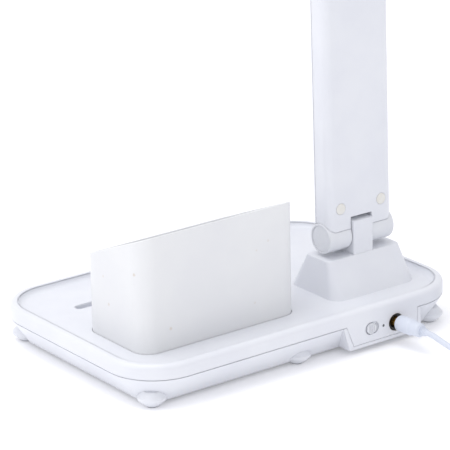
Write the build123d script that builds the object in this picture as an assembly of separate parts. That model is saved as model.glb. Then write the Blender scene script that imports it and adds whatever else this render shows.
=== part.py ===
from build123d import *
import os
from math import cos, pi, radians, sin, tan

# Rechargeable folding desk lamp on an organizer base.
# Sizes are in mm. The table is z = 0 and the base is centred on the origin.
# The port side of the base faces -Y and the hinge stands on the +X half.

# ---- base outline and heights -------------------------------------------------
BASE_LENGTH = 210.0        # outline along X
BASE_DEPTH = 141.0         # outline along Y
BASE_CORNER = 28.0         # corner radius in plan
FLOOR_Z = 1.6              # underside of the bottom shell
SEAM_Z = 16.0              # the two shells meet here
RIM_Z = 24.0               # top of the rim
TRAY_Z = 21.0              # surface of the tray
RIM_ROUND = 2.5            # outer rounding of the rim
RIM_WIDTH = 4.0            # flat top of the rim, up to the fine groove
RIM_GROOVE_WIDTH = 0.5
RIM_GROOVE_DEPTH = 0.5
DISH_RADIUS = 2.8          # hollow rounding between the rim and the tray
TAPER_INSET = 10.5         # how far the underside runs in from the outline
UNDER_CORNER = 13.0        # corner radius of the underside
UNDER_ROUND = 1.0          # rounding of the underside's edge
WALL = 2.2                 # shell wall
TAPER_WALL = 2.6           # level thickness of the sloping wall
SEAM_REVEAL = 0.35         # height of the fine line at a seam
SEAM_DEPTH = 0.5           # depth of the fine line at a seam

# ---- feet ----------------------------------------------------------------------
FOOT_X = BASE_LENGTH / 2.0 - 14.0
FOOT_Y = BASE_DEPTH / 2.0 - 12.8
MID_FOOT_Y = BASE_DEPTH / 2.0 - 11.7
FOOT_Z = 0.5               # lowest plastic of a foot
FOOT_TIP_RADIUS = 3.85
FOOT_RADIUS = 7.5
FOOT_FLARE_Z = 3.8         # the flare reaches the full radius here
FOOT_SIDE_Z = 5.2
FOOT_CROWN_RADIUS = 4.6
FOOT_CROWN_Z = 8.4
PAD_RADIUS = 3.25
PAD_TOP_Z = 1.1

# ---- pen box -------------------------------------------------------------------
BOX_X = (-87.0, 11.5)
BOX_Y = (-46.2, 6.4)
BOX_CORNER = 9.5
BOX_WALL = 2.0
BOX_TOP_Z = 83.0           # top of the tall wall, on the -Y side
BOX_SLOPE = 22.4           # degrees, the top edge falls toward +Y
BOX_EDGE_ROUND = 0.6
RECESS_Z = 19.0            # floor of the recess that takes the box
RECESS_CLEARANCE = 0.3     # round the box
BOX_SEAT = 0.05            # under the box

# ---- phone slot ----------------------------------------------------------------
SLOT_X = (-75.0, 5.0)
SLOT_Y = 33.1
SLOT_WIDTH = 4.6
SLOT_FLOOR_Z = 15.8
SLOT_EDGE = 0.4            # bevel of its rim

# ---- pedestal and tongue -------------------------------------------------------
HINGE_X = 62.3
HINGE_Y = -28.7
HINGE_Z = 50.1
PEDESTAL_TOP_Z = 40.0
PEDESTAL_TOP = (49.2, 19.0)
PEDESTAL_TOP_CORNER = 2.5
PEDESTAL_FOOT = (56.0, 40.8)
PEDESTAL_FOOT_CORNER = 7.0
PEDESTAL_EDGE = 0.7        # rounding of its top edge
TONGUE_HALF = 6.6          # half width of the tongue
TONGUE_RADIUS = 8.7        # round side, about the hinge axis
TONGUE_BACK = 9.1          # square back, away from the hinge axis
BUSH_RADIUS = 4.0          # steel bush pressed in each tongue
TONGUE_EDGE = 0.5          # rounding of the tongue's rims

# ---- ports ---------------------------------------------------------------------
PORT_FACE_Y = -BASE_DEPTH / 2.0        # flush with the band of the base
FRAME_LOW_Z = 2.6          # frame of the bottom shell
FRAME_LEFT = (21.8, 26.1)  # its slanted edge, at the seam and at the bottom
FRAME_RIGHT_X = 74.5
FRAME_BACK_Y = PORT_FACE_Y + 20.5
TAB_LOW_Z = 4.7            # tab of the top shell
TAB_LEFT = (24.2, 28.8)
TAB_RIGHT_X = 72.0
TAB_GAP = 0.15             # fine line round the tab
SWITCH_Z = 11.95
SWITCH_X = (36.6, 45.7)    # stadium recess
SWITCH_HEIGHT = 6.7
SWITCH_POCKET = 1.2        # depth of the recess
STEM_SLOT_X = (38.6, 44.8)
STEM_SLOT_HEIGHT = 2.6
KNOB_X = (37.3, 43.4)
KNOB_HEIGHT = 5.9
KNOB_PROUD = 0.7           # the knob stands out of the port face
KNOB_GAP = 0.1             # behind the knob
KNOB_GRIPS = 3             # grooves across the knob
GRIP_PITCH = 1.4
GRIP_DEPTH = 0.35
GRIP_WIDTH = 0.6
STEM_X = (39.0, 42.2)
STEM_HEIGHT = 2.2
STEM_BACK_Y = PORT_FACE_Y + 3.9
LIGHT_X = 48.8
LIGHT_Z = 11.4
LIGHT_RADIUS = 0.7
LIGHT_CLEARANCE = 0.05
LIGHT_BODY = (3.2, 2.6, 3.4)
SOCKET_X = 57.3
SOCKET_Z = 11.3
SOCKET_OPENING = 4.8       # radius of the hole in the tab
SOCKET_NOSE = 4.6
SOCKET_NOSE_Y = PORT_FACE_Y + 0.8
SOCKET_BORE = 3.3
SOCKET_BORE_END_Y = PORT_FACE_Y + 11.9
SOCKET_BODY_X = (52.6, 62.0)
SOCKET_BODY_Y = (PORT_FACE_Y + 2.2, PORT_FACE_Y + 15.5)
SOCKET_BODY_Z = (6.5, 16.1)
SOCKET_PIN_RADIUS = 1.0
SOCKET_PIN_TIP_Y = PORT_FACE_Y + 3.3

# ---- inside the base -----------------------------------------------------------
BALLAST_X = (-80.0, 16.0)
BALLAST_Y = (-49.0, 40.0)
BALLAST_THICKNESS = 3.0
PEG_PLACES = ((-70.0, -46.0), (6.0, -46.0), (-70.0, 30.0), (6.0, 30.0))
PEG_RADIUS = 1.5
PEG_HEAD_RADIUS = 2.5
PEG_HEAD = 0.8
BATTERY_X = (-80.0, 4.0)
BATTERY_Y = (-43.0, 7.0)
BATTERY_THICKNESS = 6.0
BATTERY_EDGE = 1.2
LOWER_PAD = 0.5            # foam under the battery
BOARD_X = (30.0, 71.0)
BOARD_Y = (PORT_FACE_Y + 4.0, PORT_FACE_Y + 20.5)
BOARD_Z = 8.0
BOARD_THICKNESS = 1.6
BOARD_GAP = 0.3            # round the socket
BOARD_SCREWS = ((34.0, PORT_FACE_Y + 16.5), (67.0, PORT_FACE_Y + 16.5))
BOARD_POST_RADIUS = 3.0
BOARD_SCREW = (2.5, 1.6, 1.25, 5.2)   # head radius and height, shank radius and length
SWITCH_BODY_X = (36.7, 45.6)
SWITCH_BODY_Y = (PORT_FACE_Y + 2.3, PORT_FACE_Y + 8.0)
SWITCH_BODY_HEIGHT = 4.2
CONNECTOR_SIZE = (5.0, 4.5, 2.4)
CONNECTOR_Y = PORT_FACE_Y + 20.0       # mouths of the connectors
BATTERY_CONNECTOR_X = 40.5
LAMP_CONNECTOR_X = 48.5
COIL_BLOCK = ((67.0, PORT_FACE_Y + 9.0), (5.0, 5.0, 3.0))
CHARGE_CHIP = ((48.0, PORT_FACE_Y + 11.5), (4.0, 4.0, 0.9))
DRIVER_CHIP = ((40.0, PORT_FACE_Y + 11.0), (5.0, 3.9, 1.5))
WIRE_RADIUS = 0.9
WIRE_BEND = 8.0
BATTERY_WIRE_Y = -30.0
LAMP_WIRE_Y = -29.0
BASE_SCREW_X = BASE_LENGTH / 2.0 - 20.0
BASE_SCREW_Y = BASE_DEPTH / 2.0 - 19.5
POST_RADIUS = 3.5
POST_SPLIT_Z = 9.0         # posts of the two shells meet here
BASE_SCREW = (2.6, 2.0, 1.5, 9.8)     # head radius and height, shank radius and length
BASE_SCREW_HEAD_Z = 2.8    # underside of the head, up inside the post
SCREW_CLEARANCE = 0.1      # round shanks that pass through
THREAD_CLEARANCE = 0.02    # round shanks in their own holes
HEAD_CLEARANCE = 0.2       # round screw heads

# ---- hinges (sizes from the hinge axis, which runs along X) ----------------------
BARREL_RADIUS = 8.33
BARREL_HALF = 21.9
BARREL_EDGE = 0.4
SIDE_GAP = 0.5             # between a tongue and each drum
NOTCH_HEIGHT = 10.6        # the shells clear the tongue up to here
SADDLE_GAP = 0.15          # fine line between the shells and the barrel
PIN_RADIUS = 3.0
PIN_CLEARANCE = 0.05
PIN_HEAD_RADIUS = 5.2
PIN_HEAD = 3.0
PIN_END = 20.0
POCKET_RADIUS = 6.0        # takes the pin's head or the nut
POCKET_START = 13.0
CAP_RADIUS = 7.0
CAP_START = 20.5
CAP_THICKNESS = 1.1
CAP_CLEARANCE = 0.05
NUT_ACROSS = 10.0
NUT_THICKNESS = 4.4
SPRING_COUNT = 3
SPRING_THICKNESS = 0.6
SPRING_RADIUS = 5.5
FRICTION_RADIUS = 7.0
FRICTION_CLEARANCE = 0.05

# ---- arm -----------------------------------------------------------------------
ARM_LEAN = 1.3             # degrees toward +Y in the photo
PIVOTS_APART = 280.0       # from the lower hinge axis to the upper one
ARM_WIDTH = 43.4
ARM_THICKNESS = 15.0
ARM_CORNER = 4.5
ARM_WALL = 2.0
FRONT_DEPTH = 4.0          # depth of the front shell
ARM_SCREW_X = 13.7
ARM_SCREW_UP = 16.4        # from a hinge axis to the screws beside it
COVER_RADIUS = 3.0
COVER_SEAT = 1.4           # depth of the seat of a screw cover
COVER_PROUD = 0.15
COVER_GAP = 0.08
ARM_POST_RADIUS = 4.0
ARM_POST_MEET = -1.0       # posts of the two shells meet at this depth
ARM_SCREW = (2.5, 2.0, 1.5, 6.8)
ARM_SCREW_SEAT = -3.0
FORK_GAP = 0.1             # between a fork and the shells
FORK_TOP = 24.0
FORK_POST_GAP = 0.2
FORK_TAB_HALF = 13.0
FORK_TAB_Y = (-2.6, 2.4)
FORK_TAB_TOP = 40.0
STIFFENER_THICKNESS = 3.0
STIFFENER_SLOTS = 5
STIFFENER_SLOT = (28.0, 9.0)
STIFFENER_SLOT_PITCH = 40.0
FORK_SCREW_X = 8.0
FORK_SCREW_UP = 32.0
FORK_SCREW = (2.4, 2.2, 1.5, 8.0)
ARM_WIRE_X = ARM_WIDTH / 2.0 - 5.3
ARM_WIRE_RADIUS = 1.2
ARM_WIRE_GAP = 0.05

# ---- head (sizes from the upper hinge axis) --------------------------------------
HEAD_LOW = 9.3             # light side, clear of the barrel and the arm
HEAD_THICKNESS = 13.0
HEAD_WIDTH = 44.0
HEAD_Y = (-13.0, 227.0)
HEAD_CORNER = 6.0
HEAD_WALL = 1.8
HEAD_ROUND = 2.2
BEZEL_FLOOR = 2.0
BEZEL_HEIGHT = 3.7
BEZEL_ROUND = 1.2
NECK_HALF = 7.0            # half length of the neck along Y
NECK_GAP = 0.1
FLANGE_HALF = 16.0
FLANGE_Y = (-9.0, 20.0)
FLANGE_THICKNESS = 3.0
WINDOW_HALF = 17.0
WINDOW_Y = (30.0, 212.0)
LIP = 2.0                  # the diffuser and the ring overlap the window by this
LIP_GAP = 0.2
DIFFUSER_FLANGE = 1.2
DIFFUSER_INSET = 0.3       # the diffuser sits behind the bezel's face
RING_WALL = 1.5
RING_HEIGHT = 4.9
LED_BOARD_MARGIN = 1.0     # the LED board is this much smaller than the ring
LED_BOARD_THICKNESS = 1.6
LED_ROW_X = 8.0
LED_COUNT = 16
LED_FIRST_Y = 35.0
LED_PITCH = 11.4
LED_SIZE = (3.0, 3.0, 0.6)
SPREADER_THICKNESS = 1.5
HEAD_POST_RADIUS = 3.0
NEAR_SCREWS = ((-11.0, -4.0), (11.0, -4.0), (-11.0, 14.0), (11.0, 14.0))
FAR_SCREWS = ((-15.0, 221.0), (15.0, 221.0))
HEAD_SCREW = (2.5, 1.1, 1.5, 7.5)
HEAD_SCREW_SINK = 0.1
HEAD_WIRE_Y = 10.0
HEAD_WIRE_RADIUS = 0.8
HEAD_WIRE_BEND = 2.5

# ---- plug and lead ---------------------------------------------------------------
PLUG_TILT = 2.5            # degrees, the plug sags back in its socket
PLUG_PIVOT_Y = PORT_FACE_Y + 6.5       # middle of the barrel's hold in the socket
BARREL_TIP = 4.5           # from the pivot into the socket
PLUG_BARREL_RADIUS = 2.75
PLUG_BARREL_BORE = 1.25
PLUG_BARREL_BORE_DEPTH = 9.0
PLUG_GAP = 3.0             # bare barrel outside the port face
MOULD_LENGTH = 10.7
MOULD_RADIUS = 4.35
MOULD_EDGE = 0.6
COLLAR_LENGTH = 6.4
COLLAR_RADIUS = 3.8
RELIEF_LENGTH = 4.4
RELIEF_RADIUS = 2.5
LEAD_RADIUS = 1.55
FIRST_RUN = 4.5            # straight out of the relief
LEAD_MIDDLE = (
    (57.3, -107.6, 11.1),
    (59.3, -120.5, 7.8),
    (67.5, -133.5, 4.2),
    (80.0, -138.1, 1.55),
)
LEAD_END_X = 90.0
COIL_CENTRE = (103.0, -114.85)
COIL_RADIUS = 18.6         # middle of the turns
COIL_ACROSS = 4            # turns side by side
COIL_LAYERS = 2
COIL_SHRINK = 0.05         # the wound body is a little smaller than its turns
TAIL_LENGTH = 13.0
TIE_WIDTH = 5.0
TIE_THICKNESS = 0.4
TIE_EDGE = 0.15            # the tie sinks this far into the turns
USB_RELIEF = (2.6, 7.0)    # radius and length
USB_BODY = (15.6, 20.0)    # width and length
USB_CORNER = 1.5
USB_SHELL = (12.0, 4.5, 11.8)
USB_SHELL_WALL = 0.35
USB_TONGUE = 1.8

BEND_SHARE = 0.45          # share of the shorter run that a bend takes
CUT = 1.0                  # how far cutting shapes reach past a face

# ---- sizes that follow -------------------------------------------------------------
FACE = ARM_THICKNESS / 2.0
INNER_FACE = FACE - ARM_WALL
SHELL_SPLIT = FACE - FRONT_DEPTH
DRUM_START = TONGUE_HALF + SIDE_GAP
FLOOR_TOP_Z = FLOOR_Z + WALL
PLATE_LOW_Z = TRAY_Z - WALL
BALLAST_TOP_Z = FLOOR_TOP_Z + BALLAST_THICKNESS
BATTERY_LOW_Z = BALLAST_TOP_Z + LOWER_PAD
BATTERY_TOP_Z = BATTERY_LOW_Z + BATTERY_THICKNESS
RECESS_LOW_Z = RECESS_Z - WALL
BOARD_TOP_Z = BOARD_Z + BOARD_THICKNESS
PORT_BACK_Y = PORT_FACE_Y + WALL
BOX_SIZE = (BOX_X[1] - BOX_X[0], BOX_Y[1] - BOX_Y[0])
BOX_CENTRE = ((BOX_X[0] + BOX_X[1]) / 2.0, (BOX_Y[0] + BOX_Y[1]) / 2.0)
HEAD_SIZE = (HEAD_WIDTH, HEAD_Y[1] - HEAD_Y[0])
HEAD_CENTRE = (0.0, (HEAD_Y[0] + HEAD_Y[1]) / 2.0)
HEAD_TOP = HEAD_LOW + HEAD_THICKNESS
ROOF = HEAD_TOP - HEAD_WALL
FLANGE_LOW = HEAD_LOW + BEZEL_FLOOR
RING_LOW = FLANGE_LOW + DIFFUSER_FLANGE
LED_BOARD_LOW = RING_LOW + RING_HEIGHT
SPREADER_LOW = LED_BOARD_LOW + LED_BOARD_THICKNESS
MOULD_START = PORT_FACE_Y - PLUG_PIVOT_Y - PLUG_GAP
MOULD_END = MOULD_START - MOULD_LENGTH
COLLAR_END = MOULD_END - COLLAR_LENGTH
RELIEF_END = COLLAR_END - RELIEF_LENGTH
COIL_BAND = COIL_ACROSS * LEAD_RADIUS          # half width of the wound band
COIL_OUTER_TURN = COIL_RADIUS + (COIL_ACROSS - 1) * LEAD_RADIUS
COIL_HEIGHT = 2.0 * COIL_LAYERS * LEAD_RADIUS
TAIL_Z = COIL_HEIGHT - LEAD_RADIUS


# ---- small helpers -------------------------------------------------------------------
def span(x, y, z):
    """Block between two limits on each axis."""
    size = Box(x[1] - x[0], y[1] - y[0], z[1] - z[0])
    return Pos((x[0] + x[1]) / 2.0, (y[0] + y[1]) / 2.0, (z[0] + z[1]) / 2.0) * size


def slab(size, corner, low, high, centre=(0.0, 0.0)):
    """Upright block with rounded corners in plan."""
    outline = RectangleRounded(size[0], size[1], corner)
    return Pos(centre[0], centre[1], low) * extrude(outline, amount=high - low)


def funnel(low, high, centre=(0.0, 0.0)):
    """Ruled body between two rounded rectangles, each (width, depth, corner, z)."""
    sections = []
    for width, depth, corner, level in (low, high):
        sections.append(Pos(centre[0], centre[1], level) * RectangleRounded(width, depth, corner))
    return loft(sections, ruled=True)


def rod_x(radius, start, end, y=0.0, z=0.0):
    """Round bar along X."""
    return Pos((start + end) / 2.0, y, z) * Rot(0, 90, 0) * Cylinder(radius, end - start)


def rod_y(radius, start, end, x=0.0, z=0.0):
    """Round bar along Y."""
    return Pos(x, (start + end) / 2.0, z) * Rot(90, 0, 0) * Cylinder(radius, end - start)


def rod_z(radius, low, high, x=0.0, y=0.0):
    """Round bar along Z."""
    return Pos(x, y, (low + high) / 2.0) * Cylinder(radius, high - low)


def plate_y(points, start, end):
    """Outline given in X and Z, as thick as two limits on Y."""
    outline = Plane.XZ * Polygon(*points, align=None)
    return Pos(0, start, 0) * extrude(outline, amount=end - start, dir=(0, 1, 0))


def plate_x(points, start, end):
    """Outline given in Y and Z, as thick as two limits on X."""
    outline = Plane.YZ * Polygon(*points, align=None)
    return Pos(start, 0, 0) * extrude(outline, amount=end - start, dir=(1, 0, 0))


def stadium_y(x, height, z, start, end):
    """Stadium outline in X and Z, as thick as two limits on Y."""
    radius = height / 2.0
    body = span((x[0] + radius, x[1] - radius), (start, end), (z - radius, z + radius))
    body += rod_y(radius, start, end, x[0] + radius, z)
    body += rod_y(radius, start, end, x[1] - radius, z)
    return body


def screw(sizes):
    """Screw pointing up +Z, its head ends at z = 0 and its shank starts there."""
    head_radius, head_height, shank_radius, shank_length = sizes
    return rod_z(head_radius, -head_height, 0.0) + rod_z(shank_radius, 0.0, shank_length)


def mirrored(half):
    """A half on +X together with its mirror image."""
    return half + mirror(half, about=Plane.YZ)


def group(solids):
    """Several equal pieces kept as separate solids of one node."""
    return Compound(children=[part.solid() for part in solids])


def bend_radii(points):
    """Largest safe bend at each inner point of a route."""
    radii = []
    for before, corner, after in zip(points, points[1:], points[2:]):
        run_in = Vector(*corner) - Vector(*before)
        run_out = Vector(*after) - Vector(*corner)
        half_turn = radians(run_in.get_angle(run_out)) / 2.0
        radii.append(BEND_SHARE * min(run_in.length, run_out.length) / tan(half_turn))
    return radii


def tube(points, radii, radius):
    """Round cord along straight runs joined by tangent bends."""
    path = FilletPolyline(*points, radius=radii)
    section = Plane(origin=path @ 0, z_dir=path % 0) * Circle(radius)
    return sweep(section, path=path)


# ---- base shells -----------------------------------------------------------------------
def under_level(z, inset):
    """Outline of the sloping underside at a height, moved inward."""
    rise = (SEAM_Z - z) / (SEAM_Z - FLOOR_Z)
    run = TAPER_INSET * rise + inset
    corner = BASE_CORNER - (BASE_CORNER - UNDER_CORNER) * rise - inset
    return (BASE_LENGTH - 2.0 * run, BASE_DEPTH - 2.0 * run, corner, z)


def inset_slab(inset, low, high):
    """Slab with the outline of the base moved inward."""
    size = (BASE_LENGTH - 2.0 * inset, BASE_DEPTH - 2.0 * inset)
    return slab(size, BASE_CORNER - inset, low, high)


def tab_points(grow):
    """Outline of the port tab in X and Z."""
    return (
        (TAB_LEFT[0] - grow, SEAM_Z),
        (TAB_LEFT[1] - grow, TAB_LOW_Z - grow),
        (TAB_RIGHT_X + grow, TAB_LOW_Z - grow),
        (TAB_RIGHT_X + grow, SEAM_Z),
    )


def frame_points():
    """Outline of the frame round the port tab in X and Z."""
    return (
        (FRAME_LEFT[0], SEAM_Z),
        (FRAME_LEFT[1], FRAME_LOW_Z),
        (FRAME_RIGHT_X, FRAME_LOW_Z),
        (FRAME_RIGHT_X, SEAM_Z),
    )


def base_posts(low, high):
    """Screw posts in the four corners."""
    posts = Part()
    for x in (-BASE_SCREW_X, BASE_SCREW_X):
        for y in (-BASE_SCREW_Y, BASE_SCREW_Y):
            posts += rod_z(POST_RADIUS, low, high, x, y)
    return posts


def base_bores(radius, low, high):
    """Round holes in the four posts."""
    bores = Part()
    for x in (-BASE_SCREW_X, BASE_SCREW_X):
        for y in (-BASE_SCREW_Y, BASE_SCREW_Y):
            bores += rod_z(radius, low, high, x, y)
    return bores


def rim_and_tray():
    """Band, rim and dished tray, open below."""
    body = inset_slab(0.0, SEAM_Z, RIM_Z)
    body = fillet(body.edges().group_by(Axis.Z)[-1], RIM_ROUND)
    body -= inset_slab(0.0, SEAM_Z, SEAM_Z + SEAM_REVEAL) - inset_slab(SEAM_DEPTH, SEAM_Z, RIM_Z)
    body -= inset_slab(WALL, SEAM_Z - CUT, PLATE_LOW_Z)
    groove = inset_slab(RIM_WIDTH, RIM_Z - RIM_GROOVE_DEPTH, RIM_Z + CUT)
    body -= groove
    dish = inset_slab(RIM_WIDTH + RIM_GROOVE_WIDTH, TRAY_Z, RIM_Z + CUT)
    body += inset_slab(RIM_WIDTH + RIM_GROOVE_WIDTH, TRAY_Z, RIM_Z)
    dish = fillet(dish.edges().group_by(Axis.Z)[0], DISH_RADIUS)
    return body - dish


def pedestal():
    """Hollow pedestal with the tongue of the lower hinge."""
    centre = (HINGE_X, HINGE_Y)
    top = (PEDESTAL_TOP[0], PEDESTAL_TOP[1], PEDESTAL_TOP_CORNER, PEDESTAL_TOP_Z)
    foot = (PEDESTAL_FOOT[0], PEDESTAL_FOOT[1], PEDESTAL_FOOT_CORNER, TRAY_Z)
    body = funnel(foot, top, centre)
    body = fillet(body.edges().group_by(Axis.Z)[-1], PEDESTAL_EDGE)
    body += Pos(HINGE_X, HINGE_Y, HINGE_Z) * lower_tongue()
    return body


def pedestal_hollow():
    """Space inside the pedestal, open to the inside of the base."""
    roof = (
        PEDESTAL_TOP[0] - 2.0 * WALL,
        PEDESTAL_TOP[1] - 2.0 * WALL,
        PEDESTAL_TOP_CORNER - WALL,
        PEDESTAL_TOP_Z - WALL,
    )
    mouth = (
        PEDESTAL_FOOT[0] - 2.0 * WALL,
        PEDESTAL_FOOT[1] - 2.0 * WALL,
        PEDESTAL_FOOT_CORNER - WALL,
        PLATE_LOW_Z - CUT,
    )
    return funnel(mouth, roof, (HINGE_X, HINGE_Y))


def lower_tongue():
    """Tongue about the hinge axis, square at the back and round in front."""
    foot = PEDESTAL_TOP_Z - WALL - HINGE_Z
    square = (
        (-TONGUE_BACK, foot),
        (-TONGUE_BACK, TONGUE_RADIUS),
        (0.0, TONGUE_RADIUS),
        (0.0, 0.0),
        (TONGUE_RADIUS, 0.0),
        (TONGUE_RADIUS, foot),
    )
    body = plate_x(square, -TONGUE_HALF, TONGUE_HALF)
    body += rod_x(TONGUE_RADIUS, -TONGUE_HALF, TONGUE_HALF)
    body = fillet(body.edges().group_by(Axis.X)[0] + body.edges().group_by(Axis.X)[-1], TONGUE_EDGE)
    return body - rod_x(BUSH_RADIUS, -TONGUE_HALF - CUT, TONGUE_HALF + CUT)


def slot_body(grow, low, high):
    """Long narrow body with round ends, along the phone slot."""
    length = SLOT_X[1] - SLOT_X[0] + 2.0 * grow
    outline = SlotOverall(length, SLOT_WIDTH + 2.0 * grow)
    return Pos((SLOT_X[0] + SLOT_X[1]) / 2.0, SLOT_Y, low) * extrude(outline, amount=high - low)


def port_openings():
    """Holes of the switch, the charge light and the socket in the tab."""
    holes = stadium_y(SWITCH_X, SWITCH_HEIGHT, SWITCH_Z, PORT_FACE_Y - CUT, PORT_FACE_Y + SWITCH_POCKET)
    slot_z = (SWITCH_Z - STEM_SLOT_HEIGHT / 2.0, SWITCH_Z + STEM_SLOT_HEIGHT / 2.0)
    holes += span(STEM_SLOT_X, (PORT_FACE_Y, PORT_BACK_Y + CUT), slot_z)
    light_radius = LIGHT_RADIUS + LIGHT_CLEARANCE
    holes += rod_y(light_radius, PORT_FACE_Y - CUT, PORT_BACK_Y + CUT, LIGHT_X, LIGHT_Z)
    holes += rod_y(SOCKET_OPENING, PORT_FACE_Y - CUT, PORT_BACK_Y + CUT, SOCKET_X, SOCKET_Z)
    return holes


def base_top_shell():
    """Top shell: rim, tray, box recess, phone slot, pedestal, tongue and port tab."""
    body = rim_and_tray()
    recess = (BOX_SIZE[0] + 2.0 * RECESS_CLEARANCE, BOX_SIZE[1] + 2.0 * RECESS_CLEARANCE)
    recess_corner = BOX_CORNER + RECESS_CLEARANCE
    pan = (recess[0] + 2.0 * WALL, recess[1] + 2.0 * WALL)
    body += slab(pan, recess_corner + WALL, RECESS_LOW_Z, PLATE_LOW_Z, BOX_CENTRE)
    body -= slab(recess, recess_corner, RECESS_Z, TRAY_Z + CUT, BOX_CENTRE)
    body += slot_body(WALL, SLOT_FLOOR_Z - WALL, PLATE_LOW_Z)
    trough = slot_body(0.0, SLOT_FLOOR_Z, TRAY_Z)
    trough += slot_body(SLOT_EDGE, TRAY_Z - SLOT_EDGE, TRAY_Z + CUT)
    body -= trough
    body += pedestal()
    body -= pedestal_hollow()
    tab = plate_y(tab_points(0.0), PORT_FACE_Y, PORT_BACK_Y)
    tab += span((TAB_LEFT[0], TAB_RIGHT_X), (PORT_FACE_Y, PORT_BACK_Y), (SEAM_Z, PLATE_LOW_Z))
    body += tab
    body -= port_openings()
    body += base_posts(POST_SPLIT_Z, PLATE_LOW_Z)
    thread_end = BASE_SCREW_HEAD_Z + BASE_SCREW[1] + BASE_SCREW[3] + CUT
    body -= base_bores(BASE_SCREW[2] + THREAD_CLEARANCE, POST_SPLIT_Z - CUT, thread_end)
    return body


def foot():
    """Foot bump with a shallow seat for its pad."""
    outline = (
        (0.0, FOOT_Z),
        (FOOT_TIP_RADIUS, FOOT_Z),
        (FOOT_RADIUS, FOOT_FLARE_Z),
        (FOOT_RADIUS, FOOT_SIDE_Z),
        (FOOT_CROWN_RADIUS, FOOT_CROWN_Z),
        (0.0, FOOT_CROWN_Z),
    )
    return revolve(Plane.XZ * Polygon(*outline, align=None), axis=Axis.Z)


def foot_places():
    """Centres of the six feet along the edge."""
    corners = [(x, y) for x in (-FOOT_X, FOOT_X) for y in (-FOOT_Y, FOOT_Y)]
    return corners + [(0.0, -MID_FOOT_Y), (0.0, MID_FOOT_Y)]


def pad_places():
    """Centres of the pads: one under each foot and one under the middle of the floor."""
    return foot_places() + [(0.0, 0.0)]


def base_bottom_shell():
    """Bottom shell: sloping tub, feet, port frame, posts and ballast pegs."""
    outer = funnel(under_level(FLOOR_Z, 0.0), under_level(SEAM_Z, 0.0))
    outer = fillet(outer.edges().group_by(Axis.Z)[0], UNDER_ROUND)
    outer += plate_y(frame_points(), PORT_FACE_Y, FRAME_BACK_Y)
    for x, y in foot_places():
        outer += Pos(x, y, 0) * foot()
    outer += rod_z(FOOT_TIP_RADIUS, FOOT_Z, FLOOR_TOP_Z)
    inner = funnel(under_level(FLOOR_TOP_Z, TAPER_WALL), under_level(SEAM_Z + CUT, WALL))
    inner += plate_y(tab_points(TAB_GAP), PORT_FACE_Y - CUT, FRAME_BACK_Y)
    body = outer - inner
    body += base_posts(FLOOR_Z + CUT, POST_SPLIT_Z)
    body -= base_bores(BASE_SCREW[0] + HEAD_CLEARANCE, FOOT_Z - CUT, BASE_SCREW_HEAD_Z + BASE_SCREW[1])
    body -= base_bores(BASE_SCREW[2] + SCREW_CLEARANCE, FOOT_Z, POST_SPLIT_Z + CUT)
    for x, y in pad_places():
        body -= rod_z(PAD_RADIUS, FOOT_Z - CUT, PAD_TOP_Z, x, y)
    for x, y in BOARD_SCREWS:
        body += rod_z(BOARD_POST_RADIUS, FLOOR_Z + CUT, BOARD_Z, x, y)
        bore = BOARD_SCREW[2] + THREAD_CLEARANCE
        body -= rod_z(bore, BOARD_TOP_Z - BOARD_SCREW[3], BOARD_TOP_Z, x, y)
    for x, y in PEG_PLACES:
        body += rod_z(PEG_RADIUS, FLOOR_Z + CUT, BALLAST_TOP_Z + PEG_HEAD, x, y)
        body += rod_z(PEG_HEAD_RADIUS, BALLAST_TOP_Z, BALLAST_TOP_Z + PEG_HEAD, x, y)
    return body


def foot_pads():
    """Rubber pads under the feet and under the middle of the floor."""
    return group([rod_z(PAD_RADIUS, 0.0, PAD_TOP_Z, x, y) for x, y in pad_places()])


def pen_box():
    """Open box with a sloping rim."""
    low = RECESS_Z + BOX_SEAT
    body = slab(BOX_SIZE, BOX_CORNER, low, BOX_TOP_Z, BOX_CENTRE)
    inner = (BOX_SIZE[0] - 2.0 * BOX_WALL, BOX_SIZE[1] - 2.0 * BOX_WALL)
    body -= slab(inner, BOX_CORNER - BOX_WALL, low + BOX_WALL, BOX_TOP_Z + CUT, BOX_CENTRE)
    fall = BOX_SIZE[1] * tan(radians(BOX_SLOPE))
    wedge = (
        (BOX_Y[0], BOX_TOP_Z),
        (BOX_Y[1], BOX_TOP_Z - fall),
        (BOX_Y[1] + CUT, BOX_TOP_Z - fall),
        (BOX_Y[1] + CUT, BOX_TOP_Z + CUT),
        (BOX_Y[0], BOX_TOP_Z + CUT),
    )
    body -= plate_x(wedge, BOX_X[0] - CUT, BOX_X[1] + CUT)
    slope = Vector(0, sin(radians(BOX_SLOPE)), cos(radians(BOX_SLOPE)))
    rim = [face for face in body.faces() if (face.normal_at() - slope).length < BEND_SHARE][0]
    return fillet(rim.edges(), BOX_EDGE_ROUND)


# ---- inside the base ---------------------------------------------------------------------
def ballast_plate():
    """Steel plate held by four pegs with flattened heads."""
    body = span(BALLAST_X, BALLAST_Y, (FLOOR_TOP_Z, BALLAST_TOP_Z))
    for x, y in PEG_PLACES:
        body -= rod_z(PEG_RADIUS + THREAD_CLEARANCE, FLOOR_Z, BALLAST_TOP_Z + CUT, x, y)
    return body


def battery_pack():
    """Flat battery between two foam pads."""
    body = span(BATTERY_X, BATTERY_Y, (BATTERY_LOW_Z, BATTERY_TOP_Z))
    return fillet(body.edges().filter_by(Axis.Y), BATTERY_EDGE)


def battery_pads():
    """Foam under the battery and between it and the box recess."""
    x = (BATTERY_X[0] + BATTERY_EDGE, BATTERY_X[1] - BATTERY_EDGE)
    lower = span(x, BATTERY_Y, (BALLAST_TOP_Z, BATTERY_LOW_Z))
    upper = span(x, BATTERY_Y, (BATTERY_TOP_Z, RECESS_LOW_Z))
    return group([lower, upper])


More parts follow.
